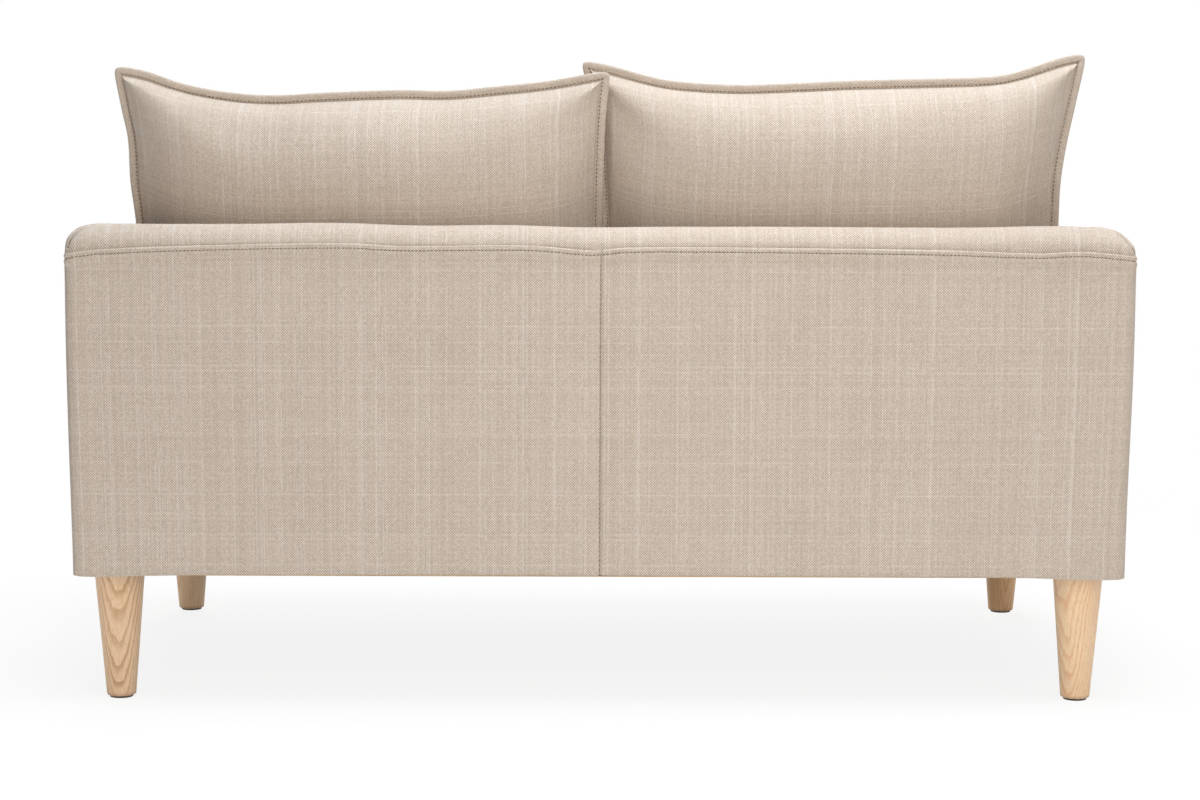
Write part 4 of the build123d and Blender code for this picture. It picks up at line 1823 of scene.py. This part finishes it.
@dataclass
class BackCushion:
    """A loose back cushion: two swelling faces sewn together with a stitched flange."""

    side: Side
    outer: Sequence[Point]
    top: Sequence[Point]
    inner: Sequence[Point]
    ear_pull: Point
    linen: Material
    thread: Material
    swelling: Swelling
    lean: float = radians(10)
    yaw: float = radians(2)
    origin_at: Point = (0.3275, 0.1983)
    half_depth: float = 0.071
    fill: float = 0.75
    flange: float = 0.012
    flange_root: float = 0.004
    flange_half: float = 0.0026
    stitch_inset: float = 0.0021
    fullness: Point = (2.3, 0.52)
    ear_shift: float = 0.05
    belly: Curve = drawn(
        (0.0, 0.0), (0.012, 0.20), (0.05, 0.44), (0.14, 0.64), (0.30, 0.80), (0.46, 0.90),
        (0.58, 0.965), (0.68, 1.005), (0.75, 1.015), (0.83, 0.96), (0.90, 0.82), (0.95, 0.63),
        (0.982, 0.40), (0.994, 0.21), (1.0, 0.0),
    )
    flange_girth: Sequence[Point] = (
        (0.0, 0.36), (0.2, 0.36), (0.34, 0.46), (0.5, 0.82), (0.7, 1.0), (0.86, 0.92),
        (0.95, 0.62), (1.0, 0.0),
    )
    across: int = 104
    up: int = 72

    def __post_init__(self) -> None:
        """Work out the cushion's plane from its node's place, and its outlines."""
        low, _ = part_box("back_cushion_{}_cover".format(self.side.word))
        turned, tipped = sin(self.lean) * sin(self.yaw), sin(self.lean) * cos(self.yaw)
        self.along = Vector((cos(self.yaw), -sin(self.yaw), 0))
        self.rise = Vector((turned, tipped, cos(self.lean)))
        self.normal = self.along.cross(self.rise)
        x, y = self.origin_at
        self.origin = Vector((self.side.value * x, y, low.z + 0.0004))
        self.edge = self._edge()
        self.seam = self.edge.moved_in(self.flange).softened(4)

    def flat(self, x: float, z: float) -> Point:
        """A place seen from behind, in the cushion's own plane."""
        t = (z - self.origin.z) / self.rise.z
        return (x - self.origin.x - t * self.rise.x) / self.along.x, t

    def _edge(self) -> Loop:
        """The flange's outer edge.

        Returns:
            The outline.
        """
        outer, top, inner = (
            [self.flat(*p) for p in line] for line in (self.outer, self.top, self.inner)
        )
        if self.side is Side.RIGHT:
            sides = [[inner[0], outer[0]], outer, top, inner[::-1]]
        else:
            sides = [[outer[0], inner[0]], inner, top[::-1], outer[::-1]]
        return outline(sides, self.across, self.up).softened(5)

    def bow(self, s: float, t: float) -> float:
        """How far the seam's line leaves the middle plane, at its pulled corners.

        Args:
            s: place across the plane.
            t: place up it.

        Returns:
            The distance.
        """
        sign, height = self.side.value, smooth(0.24, 0.44, t)
        outer = smooth(0.14, 0.33, s * sign) * self.ear_pull[0]
        inner = smooth(0.14, 0.33, -s * sign) * self.ear_pull[1]
        return (outer + inner) * height

    def spot(self, flat: Sequence[float], out: float) -> Vector:
        """A point of the cushion from its place in the plane and distance out of it."""
        s, t = flat
        return self.origin + self.along * s + self.rise * t + self.normal * (out + self.bow(s, t))

    def _full(self, share: float) -> float:
        """How full a face is from one edge to the other."""
        power, root = self.fullness
        return (1 - abs(2 * share - 1) ** power) ** root

    def puff(self, u: float, v: float, direction: Direction) -> float:
        """How far a face stands out; the rear one bellies out over the low back.

        Args:
            u: share from left to right.
            v: share from bottom to top.
            direction: which face.

        Returns:
            Share of the half depth.
        """
        across, upright = self._full(u), self._full(v)
        if direction is Direction.REAR:
            near_top = smooth(0.50, 0.78, v) * smooth(1.0, 0.80, v)
            ear = smooth(0.22, 0.04, min(u, 1 - u)) * near_top
            upright = self.belly(v + self.ear_shift * ear)
        product = across * upright
        return product / max(across + upright - product, 1e-6)

    def face(self, direction: Direction) -> BMesh:
        """One swelling face, open along its seam.

        Args:
            direction: which face.

        Returns:
            The mesh.
        """
        depth = direction.value * self.half_depth

        def place(u: float, v: float) -> Vector:
            """The point there."""
            u, v = close_ends(u), close_ends(v)
            return self.spot(self.seam.inside(u, v), depth * self.puff(u, v, direction))

        columns, rows = range(self.across + 1), range(self.up + 1)
        spots = [[place(i / self.across, j / self.up) for j in rows] for i in columns]
        widths = [self._measured([spots[i][j] for i in columns]) for j in rows]
        heights = [self._measured(column) for column in spots]

        def lay(u: float, v: float) -> Point:
            """The weave map there, measured along the cloth."""
            i, j = round(u * self.across), round(v * self.up)
            return widths[j][i] + 0.37 * direction.value, heights[i][j]

        bm = cloth_grid(self.across, self.up, place, lay)
        face_out(bm, self.spot((0.0, 0.21), -direction.value * 0.05))
        return bm

    @staticmethod
    def _measured(line: Sequence[Vector]) -> list[float]:
        """Distance of each point of a line from its middle one, along it.

        Args:
            line: the points.

        Returns:
            The distances.
        """
        runs = [0.0]
        for before, after in zip(line, line[1:]):
            runs.append(runs[-1] + (after - before).length)
        middle = runs[len(runs) // 2]
        return [run - middle for run in runs]

    def build(self) -> list[Piece]:
        """Build the cushion, its flange and its stitching.

        Returns:
            The pieces.
        """
        name = "back_cushion_" + self.side.word
        bm = self.face(Direction.REAR)
        add_mesh(bm, self.face(Direction.FRONT))
        rim = [v for v in bm.verts if v.is_boundary]
        seam_line = [v.co.copy() for v in rim]
        bmesh.ops.remove_doubles(bm, verts=rim, dist=0.0001)
        piece = finish_mesh(bm, name, self.linen)
        self.swelling.run(piece, self._seam_points(piece, seam_line))
        refine(piece)
        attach(piece, name)
        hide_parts(name + "_cover", name + "_filling")
        flange = self.build_flange()
        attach(flange, name)
        return [piece, flange] + self.build_stitches()

    @staticmethod
    def _seam_points(piece: Piece, line: Sequence[Vector]) -> list[int]:
        """Points of the mesh that lie on the seam.

        Args:
            piece: the cushion.
            line: points of the seam.

        Returns:
            Their numbers.
        """
        tree = kdtree.KDTree(len(line))
        for index, point in enumerate(line):
            tree.insert(point, index)
        tree.balance()
        return [v.index for v in piece.data.vertices if tree.find(v.co)[2] < 1e-4]

    def flange_wave(self, place: float) -> float:
        """Slight waviness of the flange along its run."""
        sign = self.side.value
        return 0.0016 * ripple(place * 26, sign * 3.0, 1.5) + 0.0008 * ripple(place * 70, 4.0, sign)

    def build_flange(self) -> Piece:
        """The flange: the cover's two layers pressed flat and turned at the edge.

        Returns:
            The piece.
        """
        edge, count = self.edge.points, len(self.edge.points)
        roots = self.edge.moved_in(self.flange + self.flange_root).softened(2).points
        half = list(self.flange_girth)
        girth = [(reach, -out) for reach, out in half] + half[-2::-1]

        def place(u: float, v: float) -> Vector:
            """The point there.

            Args:
                u: share across.
                v: share along.

            Returns:
                The point.
            """
            index = round(u * count) % count
            reach, out = girth[round(v * (len(girth) - 1))]
            flat = roots[index] + (edge[index] - roots[index]) * reach
            wave = self.flange_wave(index / count * 2.0) * reach
            return self.spot(flat, out * self.flange_half + wave)

        bm = cloth_grid(count, len(girth) - 1, place, lambda u, v: (v * 0.034, u * 2.1))
        bmesh.ops.remove_doubles(bm, verts=bm.verts[:], dist=0.00002)
        bmesh.ops.recalc_face_normals(bm, faces=bm.faces[:])
        return finish_mesh(bm, "back_flange_" + self.side.word, self.linen)

    def build_stitches(self) -> list[Piece]:
        """Rows of stitches on both faces of the flange, beside the seam.

        Returns:
            The pieces.
        """
        stitch, word = Stitch(0.0056, 0.0038, 0.0016, self.thread), self.side.word
        line = self.edge.moved_in(self.flange - self.stitch_inset).points
        rows = []
        for direction in Direction:
            out = direction.value * self.flange_half * 0.52
            path = [self.spot(flat, out) for flat in line + line[:1]]
            spots = [path[i] + (path[i + 1] - path[i]) * share for i, share in stitch.walk(path)]
            outs = [self.normal * direction.value] * len(spots)
            name = "flange_stitches_{}_{}".format(word, direction.name.lower())
            rows.append(stitch.row(name, "back_cushion_" + word, spots, outs))
        return rows


@dataclass
class SeatCushion:
    """A loose boxed seat cushion with a crowned top and a zip along its rear."""

    side: Side
    linen: Material
    thread: Material
    tape: Material
    coil: Material
    swelling: Swelling
    ends_x: Point = (0.0035, 0.6505)
    ends_y: Point = (-0.3855, 0.3170)
    bottom: float = 0.2998
    seam: float = 0.4100
    crown: float = 0.0285
    crown_share: float = 0.85
    crown_power: float = 2.2
    side_draw: float = 0.003
    bulge: float = 0.0016
    fill: float = 0.85
    stitch_drop: float = 0.006
    zip_x: float = 0.327
    zip_z: float = 0.3555
    zip_half: Point = (0.260, 0.014)
    zip_floor: float = 0.3126
    tape_thickness: float = 0.0009
    tooth: Triple = (0.00095, 0.0007, 0.0014)
    tooth_pitch: float = 0.0026
    across: int = 60
    up: int = 66

    def __post_init__(self) -> None:
        """Work out the cushion's body, the middle of its plan and its outline."""
        self.body = "seat_cushion_" + self.side.word
        self.middle = Vector((sum(self.ends_x) / 2, sum(self.ends_y) / 2))
        self.loop = self._plan()

    def _plan(self) -> Loop:
        """The cushion's plan, its sides drawn in a little.

        Returns:
            The outline.
        """
        (x0, x1), (y0, y1), draw = self.ends_x, self.ends_y, self.side_draw
        xm, ym = (x0 + x1) / 2, (y0 + y1) / 2
        sides = [
            [(x0, y0), (xm, y0 + draw), (x1, y0)],
            [(x1, y0), (x1 - draw, ym), (x1, y1)],
            [(x1, y1), (xm, y1), (x0, y1)],
            [(x0, y1), (x0 + draw, ym), (x0, y0)],
        ]
        return outline(sides, self.across, self.up).softened(16)

    def at(self, x: float, y: float, z: float) -> Vector:
        """A point of the cushion on its own side of the sofa."""
        return Vector((self.side.value * x, y, z))

    def build(self) -> list[Piece]:
        """Build the cushion, its stitching and its zip.

        Returns:
            The pieces.
        """
        name = self.body
        bm = self._panel(True)
        for part in (self._panel(False), self._boxing()):
            add_mesh(bm, part)
        rim = [v for v in bm.verts if v.is_boundary]
        bmesh.ops.remove_doubles(bm, verts=rim, dist=0.0004)
        bmesh.ops.recalc_face_normals(bm, faces=bm.faces[:])
        piece = finish_mesh(bm, name, self.linen)
        self.swelling.run(piece, self._held(piece))
        refine(piece)
        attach(piece, name)
        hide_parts(name + "_cover", name + "_core")
        return [piece, self._stitches()] + self._zip()

    def _panel(self, upper: bool) -> BMesh:
        """The crowned top panel, or the flat bottom one.

        Args:
            upper: whether it is the top one.

        Returns:
            The mesh.
        """
        power = self.crown_power

        def place(u: float, v: float) -> Vector:
            """The point there.

            Args:
                u: share across.
                v: share along.

            Returns:
                The point.
            """
            x, y = self.loop.inside(u, v)
            if not upper:
                return self.at(x, y, self.bottom)
            rise = ((1 - abs(2 * u - 1) ** power) * (1 - abs(2 * v - 1) ** power)) ** 0.5
            return self.at(x, y, self.seam + self.crown * self.crown_share * rise)

        def lay(u: float, v: float) -> Point:
            """The weave map there."""
            x, y = self.loop.inside(u, v)
            return self.side.value * x, y

        return cloth_grid(self.across, self.up, place, lay)

    def _boxing(self) -> BMesh:
        """The upright band between the panels, sunk in for the zip.

        Returns:
            The mesh.
        """
        points, count = self.loop.points, len(self.loop.points)
        (long, high), tall = self.zip_half, self.seam - self.bottom

        def place(u: float, v: float) -> Vector:
            """The point there.

            Args:
                u: share across.
                v: share along.

            Returns:
                The point.
            """
            flat = points[round(u * count) % count]
            bulge = self.bulge * (1 - (2 * v - 1) ** 2)
            outward = (flat - self.middle).normalized()
            x, y = flat.x + outward.x * bulge, flat.y + outward.y * bulge
            z = self.bottom + tall * v
            beside = smooth(long + 0.004, long - 0.002, abs(x - self.zip_x))
            above = smooth(high + 0.002, high - 0.003, abs(z - self.zip_z))
            if y > 0.25:
                y -= beside * above * (y - self.zip_floor + 0.0008)
            return self.at(x, y, z)

        return cloth_grid(count, 20, place, lambda u, v: (u * 2.72, v * tall + 0.9))

    def _held(self, piece: Piece) -> list[int]:
        """Points that the filling can't move: the seams, the bottom and the rear about the zip.

        Args:
            piece: the cushion.

        Returns:
            Their numbers.
        """
        found = []
        for vertex in piece.data.vertices:
            x, y, z = abs(vertex.co.x), vertex.co.y, vertex.co.z
            seam = abs(z - self.seam) < 1e-4 or z < self.bottom + 1e-4
            beside_zip = abs(z - self.zip_z) < 0.03 and abs(x - self.zip_x) < 0.29
            if seam or (beside_zip and y > self.zip_floor - 0.008):
                found.append(vertex.index)
        return found

    def _stitches(self) -> Piece:
        """A row of stitches on the boxing below the top seam.

        Returns:
            The piece.
        """
        stitch, points = Stitch(0.0056, 0.0036, 0.0010, self.thread), self.loop.points
        path = [self.at(p.x, p.y, self.seam - self.stitch_drop) for p in points + points[:1]]
        centre = self.at(self.middle.x, self.middle.y, self.seam)
        spots, outs = [], []
        for index, share in stitch.walk(path):
            along = path[index + 1] - path[index]
            spot = path[index] + along * share
            out = Vector((along.y, -along.x, 0)).normalized()
            if out.dot(spot - centre) < 0:
                out.negate()
            spots.append(spot + out * 0.0007)
            outs.append(out)
        return stitch.row("seat_stitches_" + self.side.word, self.body, spots, outs)

    def _zip(self) -> list[Piece]:
        """The zip's tape and its two rows of coil.

        Returns:
            The pieces.
        """
        (long, high), word = self.zip_half, self.side.word

        def place(u: float, v: float) -> Vector:
            """The point there."""
            x, z = self.zip_x + (2 * u - 1) * long, self.zip_z + (2 * v - 1) * high
            return self.at(x, self.zip_floor + 0.0011 + 0.0002 * ripple(x * 40, z * 90, 2.0), z)

        bm = cloth_grid(130, 12, place, lambda u, v: (u * 0.52, v * 0.028))
        face_out(bm, Vector((0, 0, self.zip_z)))
        tape = finish_mesh(bm, "zip_tape_" + word, self.tape)
        thicken(tape, self.tape_thickness)
        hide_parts("seat_zip_" + word)
        shape = Matrix.Diagonal((*self.tooth, 1))
        teeth = []
        for index in range(int(2 * long / self.tooth_pitch)):
            x = self.zip_x - long + (index + 0.5) * self.tooth_pitch
            for up in (-1, 1):
                z = self.zip_z + up * 0.0011
                spot = self.at(x + up * 0.0006, self.zip_floor + 0.0016, z)
                teeth.append(Matrix.Translation(spot) @ shape)
        coil = finish_mesh(bead_row(teeth, 5, 3), "zip_coil_" + word, self.coil)
        for piece in (tape, coil):
            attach(piece, self.body)
        return [tape, coil]


# Carried-over nodes


@dataclass
class CarriedNodes:
    """Finishes for the nodes that keep their own shape."""

    # The oak's pale and brown are tinted apart for each leg to paint in the light and shade that
    # falls on it, on top of the wood's own tone.
    woods: Sequence[OakFinish] = (
        OakFinish(
            "leg_wood_rear_right", (0.665, 0.330, 0.003), (0.004, -0.052),
            srgb(249, 215, 178), srgb(204, 156, 112),
        ),
        OakFinish(
            "leg_wood_rear_left", (-0.665, 0.330, 0.003), (-0.040, -0.036),
            srgb(255, 222, 184), srgb(238, 188, 144),
        ),
        OakFinish(
            "leg_wood_front_right", (0.665, -0.315, 0.003), (0.046, 0.030),
            srgb(255, 222, 182), srgb(238, 192, 146),
        ),
        OakFinish(
            "leg_wood_front_left", (-0.665, -0.315, 0.003), (-0.012, 0.055),
            srgb(236, 194, 148), srgb(200, 148, 98),
        ),
    )
    families: Sequence[tuple[str, str]] = (
        ("springs", "spring"), ("clips", "zinc"), ("bolts", "zinc"), ("nuts", "zinc"),
        ("glides", "glide"), ("webbing", "webbing"), ("slider", "zip"), ("post", "timber_up"),
        ("side_rail", "timber_deep"), ("arm_top_rail", "timber_deep"),
    )

    def build(self) -> list[str]:
        """Give every kept node its material.

        Returns:
            The nodes' names.
        """
        finishes = self.finishes()
        dressed = []
        for name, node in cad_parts.items():
            if node.hide_render:
                continue
            self.assign(node, finishes.get(name) or finishes[self.family(name)])
            dressed.append(name)
        return dressed

    @staticmethod
    def assign(node: Piece, material: Material) -> None:
        """Put one material in every slot of a node.

        Args:
            node: the node's object.
            material: what it takes.
        """
        if not node.material_slots:
            node.data.materials.append(material)
        for slot in node.material_slots:
            slot.material = material

    def family(self, name: str) -> str:
        """Which finish a hidden or small node takes."""
        return next((finish for word, finish in self.families if word in name), "timber")

    def finishes(self) -> dict[str, Material]:
        """The materials by node or family.

        Returns:
            The materials.
        """
        pine, knot = srgb(222, 190, 146), srgb(186, 144, 96)
        glide, webbing = srgb(84, 76, 68), srgb(120, 112, 100)
        upright, deep = (240.0, 240.0, 12.0), (240.0, 12.0, 240.0)
        kinds = {
            "timber": TimberFinish("frame_timber", pine, knot),
            "timber_up": TimberFinish("frame_timber_upright", pine, knot, upright),
            "timber_deep": TimberFinish("frame_timber_deep", pine, knot, deep),
            "spring": SteelFinish("spring_steel", (0.30, 0.31, 0.33), (0.16, 0.16, 0.17), 0.38),
            "zinc": SteelFinish("zinc_steel", (0.66, 0.67, 0.68), (0.46, 0.47, 0.48), 0.30),
            "zip": SteelFinish("zip_metal", (0.58, 0.56, 0.52), (0.40, 0.38, 0.35), 0.26),
            "glide": MatFinish("glide", glide, srgb(52, 46, 40), 1600.0, 0.55, 0.0002),
            "webbing": TapeFinish("webbing", webbing, srgb(58, 52, 46), 0.0016),
        }
        kinds.update({wood.node: wood for wood in self.woods})
        return {name: finish.make() for name, finish in kinds.items()}


# Studio


@dataclass(frozen=True)
class Lamp:
    """A square soft lamp."""

    name: str
    at: Triple
    to: Triple
    size: float
    power: float
    tint: Colour

    def hang(self) -> None:
        """Put the lamp in the scene."""
        data = bpy.data.lights.new(self.name, "AREA")
        data.size = self.size
        data.energy = self.power
        data.color = self.tint
        lamp = bpy.data.objects.new(self.name, data)
        lamp.location = self.at
        lamp.rotation_mode = "QUATERNION"
        lamp.rotation_quaternion = (Vector(self.to) - Vector(self.at)).to_track_quat("-Z", "Y")
        bpy.context.scene.collection.objects.link(lamp)


@dataclass
class Studio:
    """White floor and surround, soft lamps and the camera."""

    camera_at: Triple = (0.024, 3.860, 0.8005)
    focal_pixels: float = 2576.0
    picture_width: float = 1200.0
    sensor: float = 36.0
    far: float = 60.0
    pitch: float = radians(6.2)
    yaw: float = radians(-0.387)
    roll: float = radians(0.25)
    ambient: float = 0.11
    floor_half: float = 14.0
    floor_tone: Colour = (0.90, 0.895, 0.885)
    floor_glow: float = 0.13
    shadow_share: float = 0.15
    shadow_reach: Point = (1.1, 2.4)
    lamps: Sequence[Lamp] = (
        Lamp("key", (-0.25, 2.1, 1.35), (-0.1, 0.4, 0.30), 0.9, 10.8, (1.0, 0.98, 0.90)),
        Lamp("top", (-0.2, 0.35, 3.2), (-0.1, 0.25, 0.6), 2.2, 80.0, (0.88, 0.935, 1.0)),
        Lamp("high", (-0.3, 1.4, 2.7), (0.0, 0.3, 0.6), 1.6, 9.0, (0.72, 0.86, 1.0)),
        Lamp("right", (-1.6, 0.6, 2.6), (0.0, 0.3, 0.6), 1.4, 13.0, (1.0, 0.95, 0.86)),
        Lamp("face_left", (2.6, 2.9, 0.42), (0.2, 0.0, 0.25), 0.8, 9.0, (1.0, 0.91, 0.81)),
        Lamp("face_right", (-2.2, 3.4, 1.1), (0.0, 0.4, 0.5), 1.4, 9.0, (1.0, 0.90, 0.80)),
        Lamp("front", (0.6, -3.0, 2.4), (0.0, 0.0, 0.4), 2.6, 60.0, (1.0, 1.0, 1.0)),
    )

    def build(self) -> None:
        """Build everything round the sofa."""
        self.surround()
        self.floor()
        for lamp in self.lamps:
            lamp.hang()
        self.camera()

    def camera(self) -> None:
        """The camera at the photograph's place."""
        level, down = cos(self.pitch), -sin(self.pitch)
        forward = Vector((sin(self.yaw) * level, -cos(self.yaw) * level, down))
        right = forward.cross(UPWARD).normalized()
        up = right.cross(forward)
        turned = right * cos(self.roll) + up * sin(self.roll)
        upright = up * cos(self.roll) - right * sin(self.roll)
        data = bpy.data.cameras.new("camera")
        data.sensor_width = self.sensor
        data.lens = self.sensor * self.focal_pixels / self.picture_width
        data.clip_end = self.far
        camera = bpy.data.objects.new("camera", data)
        turn = Matrix((turned, upright, -forward)).transposed().to_4x4()
        camera.matrix_world = Matrix.Translation(self.camera_at) @ turn
        bpy.context.scene.collection.objects.link(camera)
        bpy.context.scene.camera = camera

    def surround(self) -> None:
        """Even ambient light, white where it is seen or mirrored."""
        world = bpy.data.worlds.new("surround")
        bpy.context.scene.world = world
        world.use_nodes = True
        tree = world.node_tree
        tree.nodes.clear()
        shades = []
        for strength in (self.ambient, 1.0):
            shade = tree.nodes.new("ShaderNodeBackground")
            shade.inputs["Color"].default_value = (1, 1, 1, 1)
            shade.inputs["Strength"].default_value = strength
            shades.append(shade.outputs[0])
        out = tree.nodes.new("ShaderNodeOutputWorld")
        self._blend(tree, self._seen(tree), shades, out.inputs[0])

    @staticmethod
    def _blend(
        tree: bpy.types.NodeTree,
        share: bpy.types.NodeSocket,
        shaders: Sequence[bpy.types.NodeSocket],
        target: bpy.types.NodeSocket,
    ) -> None:
        """Mix two shaders.

        Args:
            tree: the node tree.
            share: how much of the second.
            shaders: the two.
            target: the input that takes the mix.
        """
        mixed = tree.nodes.new("ShaderNodeMixShader")
        for socket, source in zip(mixed.inputs, (share, *shaders)):
            tree.links.new(source, socket)
        tree.links.new(mixed.outputs[0], target)

    @staticmethod
    def _seen(tree: bpy.types.NodeTree) -> bpy.types.NodeSocket:
        """One where a ray comes from the camera, a gloss or through glass.

        Args:
            tree: the node tree.

        Returns:
            The output that says so.
        """
        path = tree.nodes.new("ShaderNodeLightPath")
        seen = path.outputs["Is Camera Ray"]
        for ray in ("Is Glossy Ray", "Is Transmission Ray"):
            either = tree.nodes.new("ShaderNodeMath")
            either.operation = "MAXIMUM"
            tree.links.new(seen, either.inputs[0])
            tree.links.new(path.outputs[ray], either.inputs[1])
            seen = either.outputs[0]
        return seen

    def floor(self) -> None:
        """A wide white floor that keeps a soft shadow."""
        bm = bmesh.new()
        bmesh.ops.create_grid(bm, x_segments=8, y_segments=8, size=self.floor_half)
        g = Shader("floor")
        g.give({"Base Color": self.floor_tone, "Roughness": 0.9})
        g.give({"Emission Color": (1.0, 0.985, 0.96), "Emission Strength": self.floor_glow})
        glow = g.wire("ShaderNodeEmission", {}, {"Color": (1.0, 1.0, 1.0), "Strength": 1.0})
        x, y, _ = g.parts(g.place())
        near = 1 - g.math("SQRT", x * x + y * y).step(*self.shadow_reach)
        share = Wire(g, self._seen(g.tree)) * (1 - near * self.shadow_share)
        shaders, target = (g.surface.outputs[0], glow.socket), g.tree.nodes["Material Output"]
        self._blend(g.tree, share.socket, shaders, target.inputs["Surface"])
        finish_mesh(bm, "floor", g.material)


def back_cushions(linen: Material, thread: Material) -> list[BackCushion]:
    """The two back cushions, each with its own outline as seen from behind.

    Args:
        linen: the cover's finish.
        thread: the stitches' finish.

    Returns:
        The right one and the left one.
    """
    soft = Swelling()
    right = BackCushion(
        Side.RIGHT,
        outer=[
            (0.650, 0.442), (0.652, 0.560), (0.654, 0.656), (0.659, 0.715), (0.659, 0.771),
            (0.666, 0.813), (0.675, 0.874),
        ],
        top=[
            (0.675, 0.874), (0.628, 0.866), (0.587, 0.851), (0.532, 0.839), (0.463, 0.833),
            (0.379, 0.837), (0.282, 0.841), (0.212, 0.840), (0.142, 0.847), (0.073, 0.855),
            (0.031, 0.863), (-0.014, 0.871),
        ],
        inner=[
            (0.003, 0.442), (0.000, 0.560), (-0.003, 0.658), (-0.004, 0.718), (-0.006, 0.788),
            (-0.009, 0.829), (-0.014, 0.871),
        ],
        ear_pull=(-0.004, -0.010), linen=linen, thread=thread, swelling=soft,
    )
    left = BackCushion(
        Side.LEFT,
        outer=[
            (-0.648, 0.442), (-0.646, 0.560), (-0.642, 0.661), (-0.642, 0.720), (-0.648, 0.777),
            (-0.655, 0.818), (-0.668, 0.896),
        ],
        top=[
            (-0.668, 0.896), (-0.635, 0.890), (-0.594, 0.876), (-0.553, 0.864), (-0.470, 0.860),
            (-0.359, 0.857), (-0.275, 0.853), (-0.192, 0.850), (-0.094, 0.855), (-0.052, 0.864),
            (-0.010, 0.875), (0.030, 0.882),
        ],
        inner=[
            (-0.003, 0.442), (-0.002, 0.560), (0.000, 0.658), (0.003, 0.718), (0.008, 0.788),
            (0.015, 0.829), (0.030, 0.882),
        ],
        ear_pull=(-0.002, 0.010), linen=linen, thread=thread, swelling=soft,
    )
    return [right, left]


def report(kind: str, pieces: Sequence[Piece]) -> None:
    """Log each piece of one kind."""
    for piece in pieces:
        log.info("%s %s: %d points", kind, piece.name, len(piece.data.vertices))


def main() -> None:
    """Build the sofa's looks and the studio round it."""
    logging.basicConfig(level=logging.INFO, format="%(name)s: %(message)s")
    bpy.context.scene.view_settings.view_transform = "Standard"
    linen = LinenFinish().make()
    # The thread's colours are partly its own tone and partly painted shade: darker than the cloth,
    # standing in for the shade in the stitch holes and creases.
    thread = ThreadFinish("seam_thread", srgb(124, 104, 82), srgb(84, 68, 52)).make()
    deck_cloth = TapeFinish("deck_cloth", srgb(206, 196, 180), srgb(160, 150, 134), 0.0009).make()
    felt, soot = srgb(64, 62, 60), srgb(34, 33, 32)
    dust_cloth = MatFinish("dust_cloth", felt, soot, 1400.0, 0.9, 0.0004).make()
    tape = TapeFinish("zip_tape", srgb(196, 184, 166), srgb(150, 138, 120), 0.0007).make()
    sand, umber = srgb(186, 174, 154), srgb(140, 128, 110)
    coil = MatFinish("zip_coil", sand, umber, 900.0, 0.5, 0.0002).make()

    form = ShellForm()
    report("cover", FixedCovers(form, linen, thread, deck_cloth, dust_cloth).build())
    tan_board, dark_board = srgb(150, 108, 70), srgb(104, 70, 44)
    hardboard = MatFinish("hardboard", tan_board, dark_board, 1100.0, 0.7, 0.0002).make()
    report("board", Boards(form, hardboard).build())

    soft_seat = Swelling(pressure=3.0, growth=0.008, limit=0.006)
    for side in Side:
        report("seat", SeatCushion(side, linen, thread, tape, coil, soft_seat).build())
    for cushion in back_cushions(linen, thread):
        report("back", cushion.build())

    for name in CarriedNodes().build():
        log.info("kept node %s", name)
    Studio().build()


if __name__ == "__main__":
    main()
